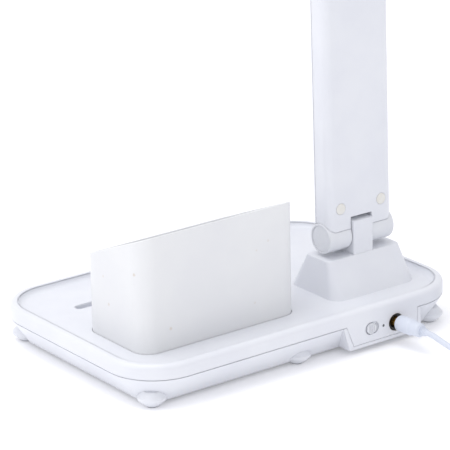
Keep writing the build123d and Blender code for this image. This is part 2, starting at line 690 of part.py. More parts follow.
def control_board():
    """Board with a notch for the socket."""
    body = span(BOARD_X, BOARD_Y, (BOARD_Z, BOARD_TOP_Z))
    notch_x = (SOCKET_BODY_X[0] - BOARD_GAP, SOCKET_BODY_X[1] + BOARD_GAP)
    notch_y = (BOARD_Y[0] - CUT, SOCKET_BODY_Y[1] + BOARD_GAP)
    body -= span(notch_x, notch_y, (BOARD_Z - CUT, BOARD_TOP_Z + CUT))
    for x, y in BOARD_SCREWS:
        body -= rod_z(BOARD_SCREW[2] + SCREW_CLEARANCE, BOARD_Z - CUT, BOARD_TOP_Z + CUT, x, y)
    return body


def on_board(centre, size):
    """Block standing on the control board."""
    block = Box(size[0], size[1], size[2])
    return Pos(centre[0], centre[1], BOARD_TOP_Z + size[2] / 2.0) * block


def board_parts():
    """Connectors, coil and chips on the control board."""
    row_y = CONNECTOR_Y - CONNECTOR_SIZE[1] / 2.0
    parts = [on_board((x, row_y), CONNECTOR_SIZE) for x in (BATTERY_CONNECTOR_X, LAMP_CONNECTOR_X)]
    parts += [on_board(*item) for item in (COIL_BLOCK, CHARGE_CHIP, DRIVER_CHIP)]
    return group(parts)


def board_screws():
    """Screws that hold the control board."""
    sizes = (BOARD_SCREW[0], BOARD_SCREW[1], BOARD_SCREW[2], BOARD_SCREW[3] - CUT)
    flipped = Rot(180, 0, 0) * screw(sizes)
    return group([Pos(x, y, BOARD_TOP_Z) * flipped for x, y in BOARD_SCREWS])


def base_screws():
    """Screws that join the two shells of the base."""
    seat = BASE_SCREW_HEAD_Z + BASE_SCREW[1]
    places = [(x, y) for x in (-BASE_SCREW_X, BASE_SCREW_X) for y in (-BASE_SCREW_Y, BASE_SCREW_Y)]
    return group([Pos(x, y, seat) * screw(BASE_SCREW) for x, y in places])


def switch_body():
    """Slide switch on the board, with a slot for the stem of the knob."""
    z = (BOARD_TOP_Z, BOARD_TOP_Z + SWITCH_BODY_HEIGHT)
    body = span(SWITCH_BODY_X, SWITCH_BODY_Y, z)
    slot_z = (SWITCH_Z - STEM_SLOT_HEIGHT / 2.0, SWITCH_Z + STEM_SLOT_HEIGHT / 2.0)
    return body - span(STEM_SLOT_X, (SWITCH_BODY_Y[0] - CUT, STEM_BACK_Y + KNOB_GAP), slot_z)


def switch_knob():
    """Sliding knob with grip grooves, and its stem."""
    outer_y = PORT_FACE_Y - KNOB_PROUD
    back_y = PORT_FACE_Y + SWITCH_POCKET - KNOB_GAP
    body = stadium_y(KNOB_X, KNOB_HEIGHT, SWITCH_Z, outer_y, back_y)
    stem_z = (SWITCH_Z - STEM_HEIGHT / 2.0, SWITCH_Z + STEM_HEIGHT / 2.0)
    body += span(STEM_X, (back_y, STEM_BACK_Y), stem_z)
    middle = (KNOB_X[0] + KNOB_X[1]) / 2.0
    for count in range(KNOB_GRIPS):
        x = middle + (count - (KNOB_GRIPS - 1) / 2.0) * GRIP_PITCH
        groove_x = (x - GRIP_WIDTH / 2.0, x + GRIP_WIDTH / 2.0)
        groove_z = (SWITCH_Z - KNOB_HEIGHT, SWITCH_Z + KNOB_HEIGHT)
        body -= span(groove_x, (outer_y - CUT, outer_y + GRIP_DEPTH), groove_z)
    return body


def charge_light():
    """Light pipe behind the pinhole, on its small lamp body."""
    body_y = BOARD_Y[0] + LIGHT_BODY[1]
    body = span(
        (LIGHT_X - LIGHT_BODY[0] / 2.0, LIGHT_X + LIGHT_BODY[0] / 2.0),
        (BOARD_Y[0], body_y),
        (BOARD_TOP_Z, BOARD_TOP_Z + LIGHT_BODY[2]),
    )
    return body + rod_y(LIGHT_RADIUS, PORT_FACE_Y + LIGHT_CLEARANCE, BOARD_Y[0], LIGHT_X, LIGHT_Z)


def power_socket():
    """Housing of the socket with its round mouth."""
    body = span(SOCKET_BODY_X, SOCKET_BODY_Y, SOCKET_BODY_Z)
    body += rod_y(SOCKET_NOSE, SOCKET_NOSE_Y, SOCKET_BODY_Y[0], SOCKET_X, SOCKET_Z)
    return body - rod_y(SOCKET_BORE, SOCKET_NOSE_Y - CUT, SOCKET_BORE_END_Y, SOCKET_X, SOCKET_Z)


def socket_pin():
    """Centre pin of the socket."""
    body = rod_y(SOCKET_PIN_RADIUS, SOCKET_PIN_TIP_Y, SOCKET_BORE_END_Y, SOCKET_X, SOCKET_Z)
    return chamfer(body.edges().group_by(Axis.Y)[0], SOCKET_PIN_RADIUS * BEND_SHARE)


def base_wires():
    """Battery wire, and the lamp wire that climbs into the pedestal."""
    level = BOARD_TOP_Z + CONNECTOR_SIZE[2] / 2.0
    battery = (
        (BATTERY_X[1], BATTERY_WIRE_Y, level),
        (BATTERY_CONNECTOR_X, BATTERY_WIRE_Y, level),
        (BATTERY_CONNECTOR_X, CONNECTOR_Y, level),
    )
    lamp = (
        (LAMP_CONNECTOR_X, CONNECTOR_Y, level),
        (LAMP_CONNECTOR_X, LAMP_WIRE_Y, level),
        (LAMP_CONNECTOR_X, LAMP_WIRE_Y, PEDESTAL_TOP_Z - WALL),
    )
    return group([tube(battery, WIRE_BEND, WIRE_RADIUS), tube(lamp, WIRE_BEND, WIRE_RADIUS)])


# ---- hinge pieces, about a hinge axis along X -----------------------------------------------
def bush():
    """Steel bush in a tongue."""
    body = rod_x(BUSH_RADIUS, -TONGUE_HALF, TONGUE_HALF)
    return body - rod_x(PIN_RADIUS + PIN_CLEARANCE, -TONGUE_HALF - CUT, TONGUE_HALF + CUT)


def pin():
    """Hinge pin with its head on the -X side."""
    head = rod_x(PIN_HEAD_RADIUS, -POCKET_START - PIN_HEAD, -POCKET_START)
    return head + rod_x(PIN_RADIUS, -POCKET_START, PIN_END)


def nut():
    """Lock nut on the +X end of the pin."""
    start = POCKET_START + SPRING_COUNT * SPRING_THICKNESS
    outline = RegularPolygon(NUT_ACROSS / 2.0, 6, major_radius=False)
    body = Pos(start, 0, 0) * Rot(0, 90, 0) * extrude(outline, amount=NUT_THICKNESS)
    return body - rod_x(PIN_RADIUS + THREAD_CLEARANCE, start - CUT, start + NUT_THICKNESS + CUT)


def ring_x(outer, inner, start, end):
    """Flat ring about the hinge axis."""
    return rod_x(outer, start, end) - rod_x(inner, start - CUT, end + CUT)


def springs():
    """Spring washers under the nut."""
    rings = []
    for count in range(SPRING_COUNT):
        start = POCKET_START + count * SPRING_THICKNESS
        rings.append(ring_x(SPRING_RADIUS, PIN_RADIUS + PIN_CLEARANCE, start, start + SPRING_THICKNESS))
    return rings


def friction_washers():
    """Washers in the gaps beside a tongue."""
    start = TONGUE_HALF + FRICTION_CLEARANCE
    end = DRUM_START - FRICTION_CLEARANCE
    washer = ring_x(FRICTION_RADIUS, PIN_RADIUS + PIN_CLEARANCE, start, end)
    return [washer, mirror(washer, about=Plane.YZ)]


def caps():
    """Flat end caps of the barrel."""
    cap = rod_x(CAP_RADIUS - CAP_CLEARANCE, CAP_START, CAP_START + CAP_THICKNESS)
    return [cap, mirror(cap, about=Plane.YZ)]


def fork():
    """Two drums joined by a stem that fills the end of the arm."""
    drum = rod_x(BARREL_RADIUS, DRUM_START, BARREL_HALF)
    drum = chamfer(drum.edges().group_by(Axis.X)[-1], BARREL_EDGE)
    body = mirrored(drum)
    width = ARM_WIDTH - 2.0 * (ARM_WALL + FORK_GAP)
    depth = ARM_THICKNESS - 2.0 * (ARM_WALL + FORK_GAP)
    stem = slab((width, depth), ARM_CORNER - ARM_WALL, 0.0, FORK_TOP)
    notch = (-DRUM_START, DRUM_START)
    stem -= span(notch, (-FACE, FACE), (-CUT, NOTCH_HEIGHT + FORK_GAP))
    body += stem
    body += span((-FORK_TAB_HALF, FORK_TAB_HALF), FORK_TAB_Y, (FORK_TOP - CUT, FORK_TAB_TOP))
    body -= rod_x(PIN_RADIUS + PIN_CLEARANCE, -BARREL_HALF, BARREL_HALF)
    pocket = rod_x(POCKET_RADIUS, POCKET_START, BARREL_HALF + CUT)
    pocket += rod_x(CAP_RADIUS, CAP_START, BARREL_HALF + CUT)
    body -= mirrored(pocket)
    for x in (-ARM_SCREW_X, ARM_SCREW_X):
        body -= rod_y(ARM_POST_RADIUS + FORK_POST_GAP, -FACE, FACE, x, ARM_SCREW_UP)
    for x in (-FORK_SCREW_X, FORK_SCREW_X):
        body -= rod_y(FORK_SCREW[2] + SCREW_CLEARANCE, -FACE, FACE, x, FORK_SCREW_UP)
    return body


# ---- arm, upright, from the lower hinge axis --------------------------------------------------
def at_upper(shape):
    """Mirror image of a lower end piece at the upper hinge."""
    return mirror(shape, about=Plane.XY.offset(PIVOTS_APART / 2.0))


def in_arm(shape):
    """Move a piece built from the lower hinge axis to its leaning place."""
    return Pos(HINGE_X, HINGE_Y, HINGE_Z) * Rot(-ARM_LEAN, 0, 0) * shape


def in_head(shape):
    """Move a piece built from the upper hinge axis to its place."""
    return in_arm(Pos(0, 0, PIVOTS_APART) * shape)


def arm_outline(inset, low, high):
    """Slab with the outline of the arm moved inward."""
    size = (ARM_WIDTH - 2.0 * inset, ARM_THICKNESS - 2.0 * inset)
    return slab(size, ARM_CORNER - inset, low, high)


def arm_ends():
    """Everything cut from the shells for the two hinges."""
    saddle = rod_x(BARREL_RADIUS + SADDLE_GAP, -ARM_WIDTH, ARM_WIDTH)
    saddle += span((-DRUM_START, DRUM_START), (-ARM_THICKNESS, ARM_THICKNESS), (-CUT, NOTCH_HEIGHT))
    return saddle + at_upper(saddle)


def arm_screw_places():
    """X and height of the four screws of the shells."""
    heights = (ARM_SCREW_UP, PIVOTS_APART - ARM_SCREW_UP)
    return [(x, z) for x in (-ARM_SCREW_X, ARM_SCREW_X) for z in heights]


def arm_rear_shell():
    """Deep shell on the -Y side, with the seats of the screw covers."""
    body = arm_outline(0.0, 0.0, PIVOTS_APART) - arm_outline(ARM_WALL, -CUT, PIVOTS_APART + CUT)
    body -= span((-ARM_WIDTH, ARM_WIDTH), (SHELL_SPLIT, ARM_THICKNESS), (-CUT, PIVOTS_APART + CUT))
    body -= arm_ends()
    for x, z in arm_screw_places():
        body += rod_y(ARM_POST_RADIUS, -INNER_FACE - CUT, ARM_POST_MEET, x, z)
        body -= rod_y(COVER_RADIUS + COVER_GAP, -FACE - CUT, -FACE + COVER_SEAT, x, z)
        body -= rod_y(ARM_SCREW[0] + HEAD_CLEARANCE, -FACE, ARM_SCREW_SEAT, x, z)
        body -= rod_y(ARM_SCREW[2] + SCREW_CLEARANCE, -FACE, FACE, x, z)
    return body


def arm_front_shell():
    """Shallow shell on the +Y side."""
    body = arm_outline(0.0, 0.0, PIVOTS_APART) - arm_outline(ARM_WALL, -CUT, PIVOTS_APART + CUT)
    body -= span((-ARM_WIDTH, ARM_WIDTH), (-ARM_THICKNESS, SHELL_SPLIT), (-CUT, PIVOTS_APART + CUT))
    line = arm_outline(0.0, -CUT, PIVOTS_APART + CUT) - arm_outline(SEAM_DEPTH, -CUT, PIVOTS_APART + CUT)
    line_y = (SHELL_SPLIT, SHELL_SPLIT + SEAM_REVEAL)
    line &= span((-ARM_WIDTH, ARM_WIDTH), line_y, (-CUT, PIVOTS_APART + CUT))
    body -= line
    body -= arm_ends()
    for x, z in arm_screw_places():
        body += rod_y(ARM_POST_RADIUS, ARM_POST_MEET, INNER_FACE + CUT, x, z)
        bore_end = ARM_SCREW_SEAT + ARM_SCREW[3] + THREAD_CLEARANCE
        body -= rod_y(ARM_SCREW[2] + THREAD_CLEARANCE, -FACE, bore_end, x, z)
    return body


def arm_screws():
    """Screws under the round covers."""
    turned = Rot(-90, 0, 0) * screw(ARM_SCREW)
    return group([Pos(x, ARM_SCREW_SEAT, z) * turned for x, z in arm_screw_places()])


def screw_covers():
    """Round covers over the screws of the arm."""
    start = -FACE - COVER_PROUD
    covers = []
    for x, z in arm_screw_places():
        cover = rod_y(COVER_RADIUS, start, -FACE + COVER_SEAT, x, z)
        covers.append(fillet(cover.edges().group_by(Axis.Y)[0], COVER_PROUD))
    return group(covers)


def arm_stiffener():
    """Slotted flat bar that ties the two forks."""
    y = (FORK_TAB_Y[1], FORK_TAB_Y[1] + STIFFENER_THICKNESS)
    body = span((-FORK_TAB_HALF, FORK_TAB_HALF), y, (FORK_TOP, PIVOTS_APART - FORK_TOP))
    for x in (-FORK_SCREW_X, FORK_SCREW_X):
        for z in (FORK_SCREW_UP, PIVOTS_APART - FORK_SCREW_UP):
            body -= rod_y(FORK_SCREW[2] + THREAD_CLEARANCE, y[0] - CUT, y[1] + CUT, x, z)
    for count in range(STIFFENER_SLOTS):
        z = PIVOTS_APART / 2.0 + (count - (STIFFENER_SLOTS - 1) / 2.0) * STIFFENER_SLOT_PITCH
        radius = STIFFENER_SLOT[1] / 2.0
        half = STIFFENER_SLOT[0] / 2.0 - radius
        body -= span((-radius, radius), (y[0] - CUT, y[1] + CUT), (z - half, z + half))
        body -= rod_y(radius, y[0] - CUT, y[1] + CUT, 0.0, z - half)
        body -= rod_y(radius, y[0] - CUT, y[1] + CUT, 0.0, z + half)
    return body


def fork_screws():
    """Screws that hold the stiffener on the forks."""
    turned = Rot(-90, 0, 0) * screw(FORK_SCREW)
    heights = (FORK_SCREW_UP, PIVOTS_APART - FORK_SCREW_UP)
    places = [(x, z) for x in (-FORK_SCREW_X, FORK_SCREW_X) for z in heights]
    return group([Pos(x, FORK_TAB_Y[0], z) * turned for x, z in places])


def arm_wire():
    """Straight part of the lamp wire inside the arm."""
    y = -INNER_FACE + ARM_WIRE_RADIUS + ARM_WIRE_GAP
    return rod_z(ARM_WIRE_RADIUS, FORK_TOP, PIVOTS_APART - FORK_TOP, ARM_WIRE_X, y)


# ---- head, level, from the upper hinge axis ------------------------------------------------------
def head_tongue():
    """Tongue, neck and flange of the head."""
    body = rod_x(TONGUE_RADIUS, -TONGUE_HALF, TONGUE_HALF)
    body += span((-TONGUE_HALF, TONGUE_HALF), (-NECK_HALF, NECK_HALF), (0.0, FLANGE_LOW + CUT))
    flange = (FLANGE_LOW, FLANGE_LOW + FLANGE_THICKNESS)
    body += span((-FLANGE_HALF, FLANGE_HALF), FLANGE_Y, flange)
    body -= rod_x(BUSH_RADIUS, -TONGUE_HALF - CUT, TONGUE_HALF + CUT)
    for x, y in NEAR_SCREWS:
        body -= rod_z(HEAD_SCREW[2] + SCREW_CLEARANCE, flange[0] - CUT, flange[1] + CUT, x, y)
    return body


def head_slab(inset, low, high):
    """Slab with the outline of the head moved inward."""
    size = (HEAD_SIZE[0] - 2.0 * inset, HEAD_SIZE[1] - 2.0 * inset)
    return slab(size, HEAD_CORNER - inset, low, high, HEAD_CENTRE)


def window_slab(grow, low, high):
    """Block with the outline of the light window, made larger."""
    x = (-WINDOW_HALF - grow, WINDOW_HALF + grow)
    y = (WINDOW_Y[0] - grow, WINDOW_Y[1] + grow)
    return span(x, y, (low, high))


def head_bezel():
    """Lower shell of the head round the window."""
    body = head_slab(0.0, HEAD_LOW, HEAD_LOW + BEZEL_HEIGHT)
    body = fillet(body.edges().group_by(Axis.Z)[0], BEZEL_ROUND)
    body -= head_slab(HEAD_WALL, FLANGE_LOW, HEAD_TOP)
    body -= window_slab(0.0, HEAD_LOW - CUT, FLANGE_LOW + CUT)
    neck_x = (-TONGUE_HALF - NECK_GAP, TONGUE_HALF + NECK_GAP)
    neck_y = (-NECK_HALF - NECK_GAP, NECK_HALF + NECK_GAP)
    body -= span(neck_x, neck_y, (HEAD_LOW - CUT, FLANGE_LOW + CUT))
    for x, y in NEAR_SCREWS + FAR_SCREWS:
        seat = HEAD_LOW + HEAD_SCREW_SINK + HEAD_SCREW[1]
        body -= rod_z(HEAD_SCREW[0] + HEAD_CLEARANCE, HEAD_LOW - CUT, seat, x, y)
        body -= rod_z(HEAD_SCREW[2] + SCREW_CLEARANCE, HEAD_LOW, FLANGE_LOW + CUT, x, y)
    return body


def head_cover():
    """Upper shell of the head, with posts for the screws."""
    low = HEAD_LOW + BEZEL_HEIGHT
    body = head_slab(0.0, low, HEAD_TOP)
    body = fillet(body.edges().group_by(Axis.Z)[-1], HEAD_ROUND)
    body -= head_slab(0.0, low, low + SEAM_REVEAL) - head_slab(SEAM_DEPTH, low, HEAD_TOP)
    body -= head_slab(HEAD_WALL, low - CUT, ROOF)
    for x, y in NEAR_SCREWS:
        body += rod_z(HEAD_POST_RADIUS, FLANGE_LOW + FLANGE_THICKNESS, ROOF + CUT, x, y)
    for x, y in FAR_SCREWS:
        body += rod_z(HEAD_POST_RADIUS, FLANGE_LOW, ROOF + CUT, x, y)
    bore_end = HEAD_LOW + HEAD_SCREW_SINK + HEAD_SCREW[1] + HEAD_SCREW[3] + THREAD_CLEARANCE
    for x, y in NEAR_SCREWS + FAR_SCREWS:
        body -= rod_z(HEAD_SCREW[2] + THREAD_CLEARANCE, FLANGE_LOW, bore_end, x, y)
    return body


def head_screws():
    """Screws that hold the bezel, the flange and the cover together."""
    seat = HEAD_LOW + HEAD_SCREW_SINK + HEAD_SCREW[1]
    return group([Pos(x, y, seat) * screw(HEAD_SCREW) for x, y in NEAR_SCREWS + FAR_SCREWS])


def diffuser():
    """Milky plate that fills the window and rests on the bezel."""
    plate = window_slab(-LIP_GAP, HEAD_LOW + DIFFUSER_INSET, FLANGE_LOW + DIFFUSER_FLANGE)
    return plate + window_slab(LIP, FLANGE_LOW, FLANGE_LOW + DIFFUSER_FLANGE)


def light_ring():
    """White ring between the diffuser and the LED board."""
    body = window_slab(LIP, RING_LOW, LED_BOARD_LOW)
    return body - window_slab(LIP - RING_WALL, RING_LOW - CUT, LED_BOARD_LOW + CUT)


def led_board():
    """Board that carries the LEDs."""
    return window_slab(LIP - LED_BOARD_MARGIN, LED_BOARD_LOW, SPREADER_LOW)


def heat_spreader():
    """Aluminium sheet between the LED board and the cover."""
    return window_slab(LIP - LED_BOARD_MARGIN, SPREADER_LOW, SPREADER_LOW + SPREADER_THICKNESS)


def leds():
    """Two rows of LEDs facing down."""
    chips = []
    for x in (-LED_ROW_X, LED_ROW_X):
        for count in range(LED_COUNT):
            y = LED_FIRST_Y + count * LED_PITCH
            z = LED_BOARD_LOW - LED_SIZE[2] / 2.0
            chips.append(Pos(x, y, z) * Box(LED_SIZE[0], LED_SIZE[1], LED_SIZE[2]))
    return group(chips)


def head_wire():
    """Wire from the flange to the LED board."""
    level = LED_BOARD_LOW + LED_BOARD_THICKNESS / 2.0
    board_end = WINDOW_Y[0] - LIP + LED_BOARD_MARGIN
    route = (
        (0.0, HEAD_WIRE_Y, FLANGE_LOW + FLANGE_THICKNESS),
        (0.0, HEAD_WIRE_Y, level),
        (0.0, board_end, level),
    )
    return tube(route, HEAD_WIRE_BEND, HEAD_WIRE_RADIUS)


# ---- plug, lead and coil ---------------------------------------------------------------------------
def in_plug(shape):
    """Move a piece built about the middle of the socket to its tilted place."""
    return Pos(SOCKET_X, PLUG_PIVOT_Y, SOCKET_Z) * Rot(-PLUG_TILT, 0, 0) * shape


def plug_barrel():
    """Hollow metal barrel of the plug."""
    body = rod_y(PLUG_BARREL_RADIUS, MOULD_START, BARREL_TIP)
    return body - rod_y(PLUG_BARREL_BORE, BARREL_TIP - PLUG_BARREL_BORE_DEPTH, BARREL_TIP + CUT)


def plug_body():
    """Moulded grip with its collar and strain relief."""
    grip = rod_y(MOULD_RADIUS, MOULD_END, MOULD_START)
    grip = fillet(grip.edges().filter_by(GeomType.CIRCLE), MOULD_EDGE)
    collar = rod_y(COLLAR_RADIUS, COLLAR_END, MOULD_END + CUT)
    collar = fillet(collar.edges().group_by(Axis.Y)[0], MOULD_EDGE)
    return grip + collar + rod_y(RELIEF_RADIUS, RELIEF_END, COLLAR_END + CUT)


def along_plug(distance):
    """Point on the axis of the tilted plug, measured from its pivot."""
    tilt = radians(PLUG_TILT)
    return (SOCKET_X, PLUG_PIVOT_Y - distance * cos(tilt), SOCKET_Z + distance * sin(tilt))


def lead_points():
    """Route of the free lead, from the strain relief to the coil."""
    start = along_plug(-RELIEF_END)
    first = along_plug(FIRST_RUN - RELIEF_END)
    end = (LEAD_END_X, LEAD_MIDDLE[-1][1], LEAD_RADIUS)
    return (start, first) + LEAD_MIDDLE + (end,)


def lead():
    """Free lead."""
    points = lead_points()
    radii = bend_radii(points)
    body = tube(points, radii, LEAD_RADIUS)
    length = body.volume / (pi * LEAD_RADIUS ** 2)
    print("lead bends", [round(value, 1) for value in radii], "length", round(length, 1))
    return body


def coil_ring(grow, low):
    """Band of square section with the outer shape of the wound turns."""
    outer = COIL_RADIUS + COIL_BAND + grow
    inner = COIL_RADIUS - COIL_BAND - grow
    return rod_z(outer, low, COIL_HEIGHT + grow) - rod_z(inner, -CUT, COIL_HEIGHT + CUT + grow)


def coil_tie():
    """Strap round the coil on its far side."""
    band = Pos(*COIL_CENTRE, 0) * (coil_ring(TIE_THICKNESS, 0.0) - coil_core())
    x = (COIL_CENTRE[0] - TIE_WIDTH / 2.0, COIL_CENTRE[0] + TIE_WIDTH / 2.0)
    y = (COIL_CENTRE[1], COIL_CENTRE[1] + COIL_RADIUS + 2.0 * COIL_BAND)
    return band & span(x, y, (-CUT, COIL_HEIGHT + CUT))


def coil_core():
    """The turns where the tie holds them."""
    outer = COIL_RADIUS + COIL_BAND - TIE_EDGE
    inner = COIL_RADIUS - COIL_BAND + TIE_EDGE
    top = COIL_HEIGHT - TIE_EDGE
    low = TIE_THICKNESS
    return rod_z(outer, low, top) - rod_z(inner, -CUT, COIL_HEIGHT)


def lead_coil():
    """Wound length of the lead as one closed body, with both ends led out."""
    body = fillet(coil_ring(-COIL_SHRINK, COIL_SHRINK).edges(), LEAD_RADIUS)
    body = Pos(*COIL_CENTRE, 0) * body
    near = COIL_CENTRE[1] - COIL_OUTER_TURN
    body += rod_x(LEAD_RADIUS, LEAD_END_X, COIL_CENTRE[0], near, LEAD_RADIUS)
    side = COIL_CENTRE[0] + COIL_OUTER_TURN
    tail_end = COIL_CENTRE[1] + TAIL_LENGTH
    body += rod_y(LEAD_RADIUS, COIL_CENTRE[1], tail_end, side, TAIL_Z)
    body -= coil_tie()
    turns = COIL_ACROSS * COIL_LAYERS
    print("coil length", round(turns * 2.0 * pi * COIL_RADIUS, 1))
    return body


def usb_place(shape):
    """Move a piece built along +Y to the end of the tail."""
    side = COIL_CENTRE[0] + COIL_OUTER_TURN
    return Pos(side, COIL_CENTRE[1] + TAIL_LENGTH, TAIL_Z) * shape


def usb_plug_body():
    """Moulded body and relief of the charging plug."""
    start = USB_RELIEF[1]
    x = (-USB_BODY[0] / 2.0, USB_BODY[0] / 2.0)
    body = span(x, (start, start + USB_BODY[1]), (-TAIL_Z, TAIL_Z))
    body = fillet(body.edges().filter_by(Axis.Y), USB_CORNER)
    return body + rod_y(USB_RELIEF[0], 0.0, start + CUT)


def usb_plug_shell():
    """Metal mouth of the charging plug with its plastic tongue space."""
    start = USB_RELIEF[1] + USB_BODY[1]
    x = (-USB_SHELL[0] / 2.0, USB_SHELL[0] / 2.0)
    z = (-USB_SHELL[1] / 2.0, USB_SHELL[1] / 2.0)
    body = span(x, (start, start + USB_SHELL[2]), z)
    hollow_x = (x[0] + USB_SHELL_WALL, x[1] - USB_SHELL_WALL)
    hollow_z = (z[0] + USB_TONGUE, z[1] - USB_SHELL_WALL)
    return body - span(hollow_x, (start + CUT, start + USB_SHELL[2] + CUT), hollow_z)


# ---- every node of the part ----------------------------------------------------------------------------
def both_hinges(pieces):
    """Lower and upper set of hinge pieces, as one group."""
    upper = [Pos(0, 0, PIVOTS_APART) * piece for piece in pieces]
    return in_arm(group(pieces + upper))


NODES = {
    "base_top_shell": base_top_shell(),
    "base_bottom_shell": base_bottom_shell(),
    "foot_pads": foot_pads(),
    "pen_box": pen_box(),
    "ballast_plate": ballast_plate(),
    "battery_pack": battery_pack(),
    "battery_pads": battery_pads(),
    "control_board": control_board(),
    "board_parts": board_parts(),
    "board_screws": board_screws(),
    "base_screws": base_screws(),
    "switch_body": switch_body(),
    "switch_knob": switch_knob(),
    "charge_light": charge_light(),
    "power_socket": power_socket(),
    "socket_pin": socket_pin(),
    "base_wires": base_wires(),
    "base_bush": Pos(HINGE_X, HINGE_Y, HINGE_Z) * bush(),
    "hinge_pins": both_hinges([pin()]),
    "hinge_nuts": both_hinges([nut()]),
    "hinge_springs": both_hinges(springs()),
    "friction_washers": both_hinges(friction_washers()),
    "hinge_caps": both_hinges(caps()),
    "lower_fork": in_arm(fork()),
    "upper_fork": in_arm(at_upper(fork())),
    "arm_rear_shell": in_arm(arm_rear_shell()),
    "arm_front_shell": in_arm(arm_front_shell()),
    "arm_screws": in_arm(arm_screws()),
    "screw_covers": in_arm(screw_covers()),
    "arm_stiffener": in_arm(arm_stiffener()),
    "fork_screws": in_arm(fork_screws()),
    "arm_wire": in_arm(arm_wire()),
    "head_tongue": in_head(head_tongue()),
    "head_bush": in_head(bush()),
    "head_bezel": in_head(head_bezel()),
    "head_cover": in_head(head_cover()),
    "head_screws": in_head(head_screws()),
    "diffuser": in_head(diffuser()),
    "light_ring": in_head(light_ring()),
    "led_board": in_head(led_board()),
    "leds": in_head(leds()),
    "heat_spreader": in_head(heat_spreader()),
    "head_wire": in_head(head_wire()),
    "plug_barrel": in_plug(plug_barrel()),
    "plug_body": in_plug(plug_body()),
    "lead": lead(),
    "lead_coil": lead_coil(),
    "coil_tie": coil_tie(),
    "usb_plug_body": usb_place(usb_plug_body()),
    "usb_plug_shell": usb_place(usb_plug_shell()),
}

os.makedirs("parts", exist_ok=True)
for name, shape in NODES.items():
    export_step(shape, f"parts/{name}.step")
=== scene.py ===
import logging
import math
from dataclasses import dataclass, field
from enum import Enum

import bmesh
import bpy
from bmesh.types import BMesh, BMVert
from bpy.types import ID, Material, Mesh, Node, NodeSocket, NodeTree, Object
from mathutils import Matrix, Vector


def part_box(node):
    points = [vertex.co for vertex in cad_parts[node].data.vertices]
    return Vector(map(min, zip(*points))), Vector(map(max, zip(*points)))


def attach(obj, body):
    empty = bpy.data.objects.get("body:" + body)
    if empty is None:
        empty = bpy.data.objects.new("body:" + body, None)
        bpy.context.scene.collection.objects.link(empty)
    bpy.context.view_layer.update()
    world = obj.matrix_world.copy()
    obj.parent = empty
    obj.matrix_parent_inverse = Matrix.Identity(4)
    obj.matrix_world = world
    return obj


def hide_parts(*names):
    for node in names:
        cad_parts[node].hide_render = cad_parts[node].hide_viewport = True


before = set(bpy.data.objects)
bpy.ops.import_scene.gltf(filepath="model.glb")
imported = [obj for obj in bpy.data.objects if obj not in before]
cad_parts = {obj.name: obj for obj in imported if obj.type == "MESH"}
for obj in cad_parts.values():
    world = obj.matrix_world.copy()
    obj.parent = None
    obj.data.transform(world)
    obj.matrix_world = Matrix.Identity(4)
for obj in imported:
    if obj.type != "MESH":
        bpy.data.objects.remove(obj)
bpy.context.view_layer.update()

# Looks of a folding desk lamp on an organizer base. Lengths are metres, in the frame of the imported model:
# +X runs along the base towards the hinge, -Y is the side with the ports, and the table is z = 0.

LOG = logging.getLogger("desk_lamp")
MM = 0.001
# Points of a mesh that are closer than this become one.
WELD = 1e-6
# No corner of a block is rounded less than this.
LEAST_CORNER = 0.02 * MM
# The arm and the head lean this far towards +Y at rest, and their screws and LEDs with them.
ARM_LEAN = math.radians(1.3)
UPRIGHT = Vector((0.0, 0.0, 1.0))
ARM_ACROSS = Vector((0.0, math.cos(ARM_LEAN), -math.sin(ARM_LEAN)))
HEAD_UP = Vector((0.0, math.sin(ARM_LEAN), math.cos(ARM_LEAN)))
Point = tuple[float, float, float]
Places = list[tuple[Vector, Vector]]


class Body(Enum):
    """The moving groups of the lamp that carry pieces of this script."""

    BASE = "base"
    ARM = "arm"
    HEAD = "head"


# ---- colour and node helpers ---------------------------------------------------------------


def linear(code: str) -> tuple[float, float, float, float]:
    """Turns an sRGB hex colour into linear light.

    Args:
        code: six hex digits with a leading hash.

    Returns:
        Red, green, blue and an alpha of one.
    """
    parts = [int(code[start:start + 2], 16) / 255.0 for start in (1, 3, 5)]
    red, green, blue = (
        part / 12.92 if part <= 0.04045 else ((part + 0.055) / 1.055) ** 2.4 for part in parts
    )
    return red, green, blue, 1.0


def feed(node: Node, values: dict) -> None:
    """Gives a node its settings and links.

    Args:
        node: the node.
        values: property names, input names or input numbers, with what each gets: a plain value, a
            socket, a node that stands for its first output, or a list of nodes for one input.
    """
    for key, value in values.items():
        if isinstance(key, str) and hasattr(node, key):
            setattr(node, key, value)
            continue
        for given in value if isinstance(value, list) else [value]:
            if isinstance(given, Node):
                given = given.outputs[0]
            if isinstance(given, NodeSocket):
                node.id_data.links.new(given, node.inputs[key])
            else:
                node.inputs[key].default_value = given


def add_node(tree: NodeTree, kind: str, values: dict | None = None) -> Node:
    """Adds a node with its settings and links.

    Args:
        tree: the node tree that gets the node.
        kind: the node's type name.
        values: what the node is given, as feed takes it.

    Returns:
        The new node.
    """
    node = tree.nodes.new(kind)
    feed(node, values or {})
    return node


# ---- finishes ------------------------------------------------------------------------------


@dataclass(frozen=True)
class Canvas:
    """A material while its pattern is laid.

    Args:
        tree: the material's node tree.
        shader: its shader.
        place: socket with the object's own coordinates.
    """

    tree: NodeTree
    shader: Node
    place: NodeSocket

    def add(self, kind: str, values: dict) -> Node:
        """Adds a node to the material and returns it."""
        return add_node(self.tree, kind, values)

    def pattern(self, kind: str, width_mm: float, values: dict | None = None) -> Node:
        """Adds a node whose pattern has a real width on the surface.

        Args:
            kind: the node's type name.
            width_mm: width of one spot of the pattern.
            values: further values of the node.

        Returns:
            The new node.
        """
        own = {"Vector": self.place, "Scale": 1.0 / (width_mm * MM)}
        return self.add(kind, own | (values or {}))


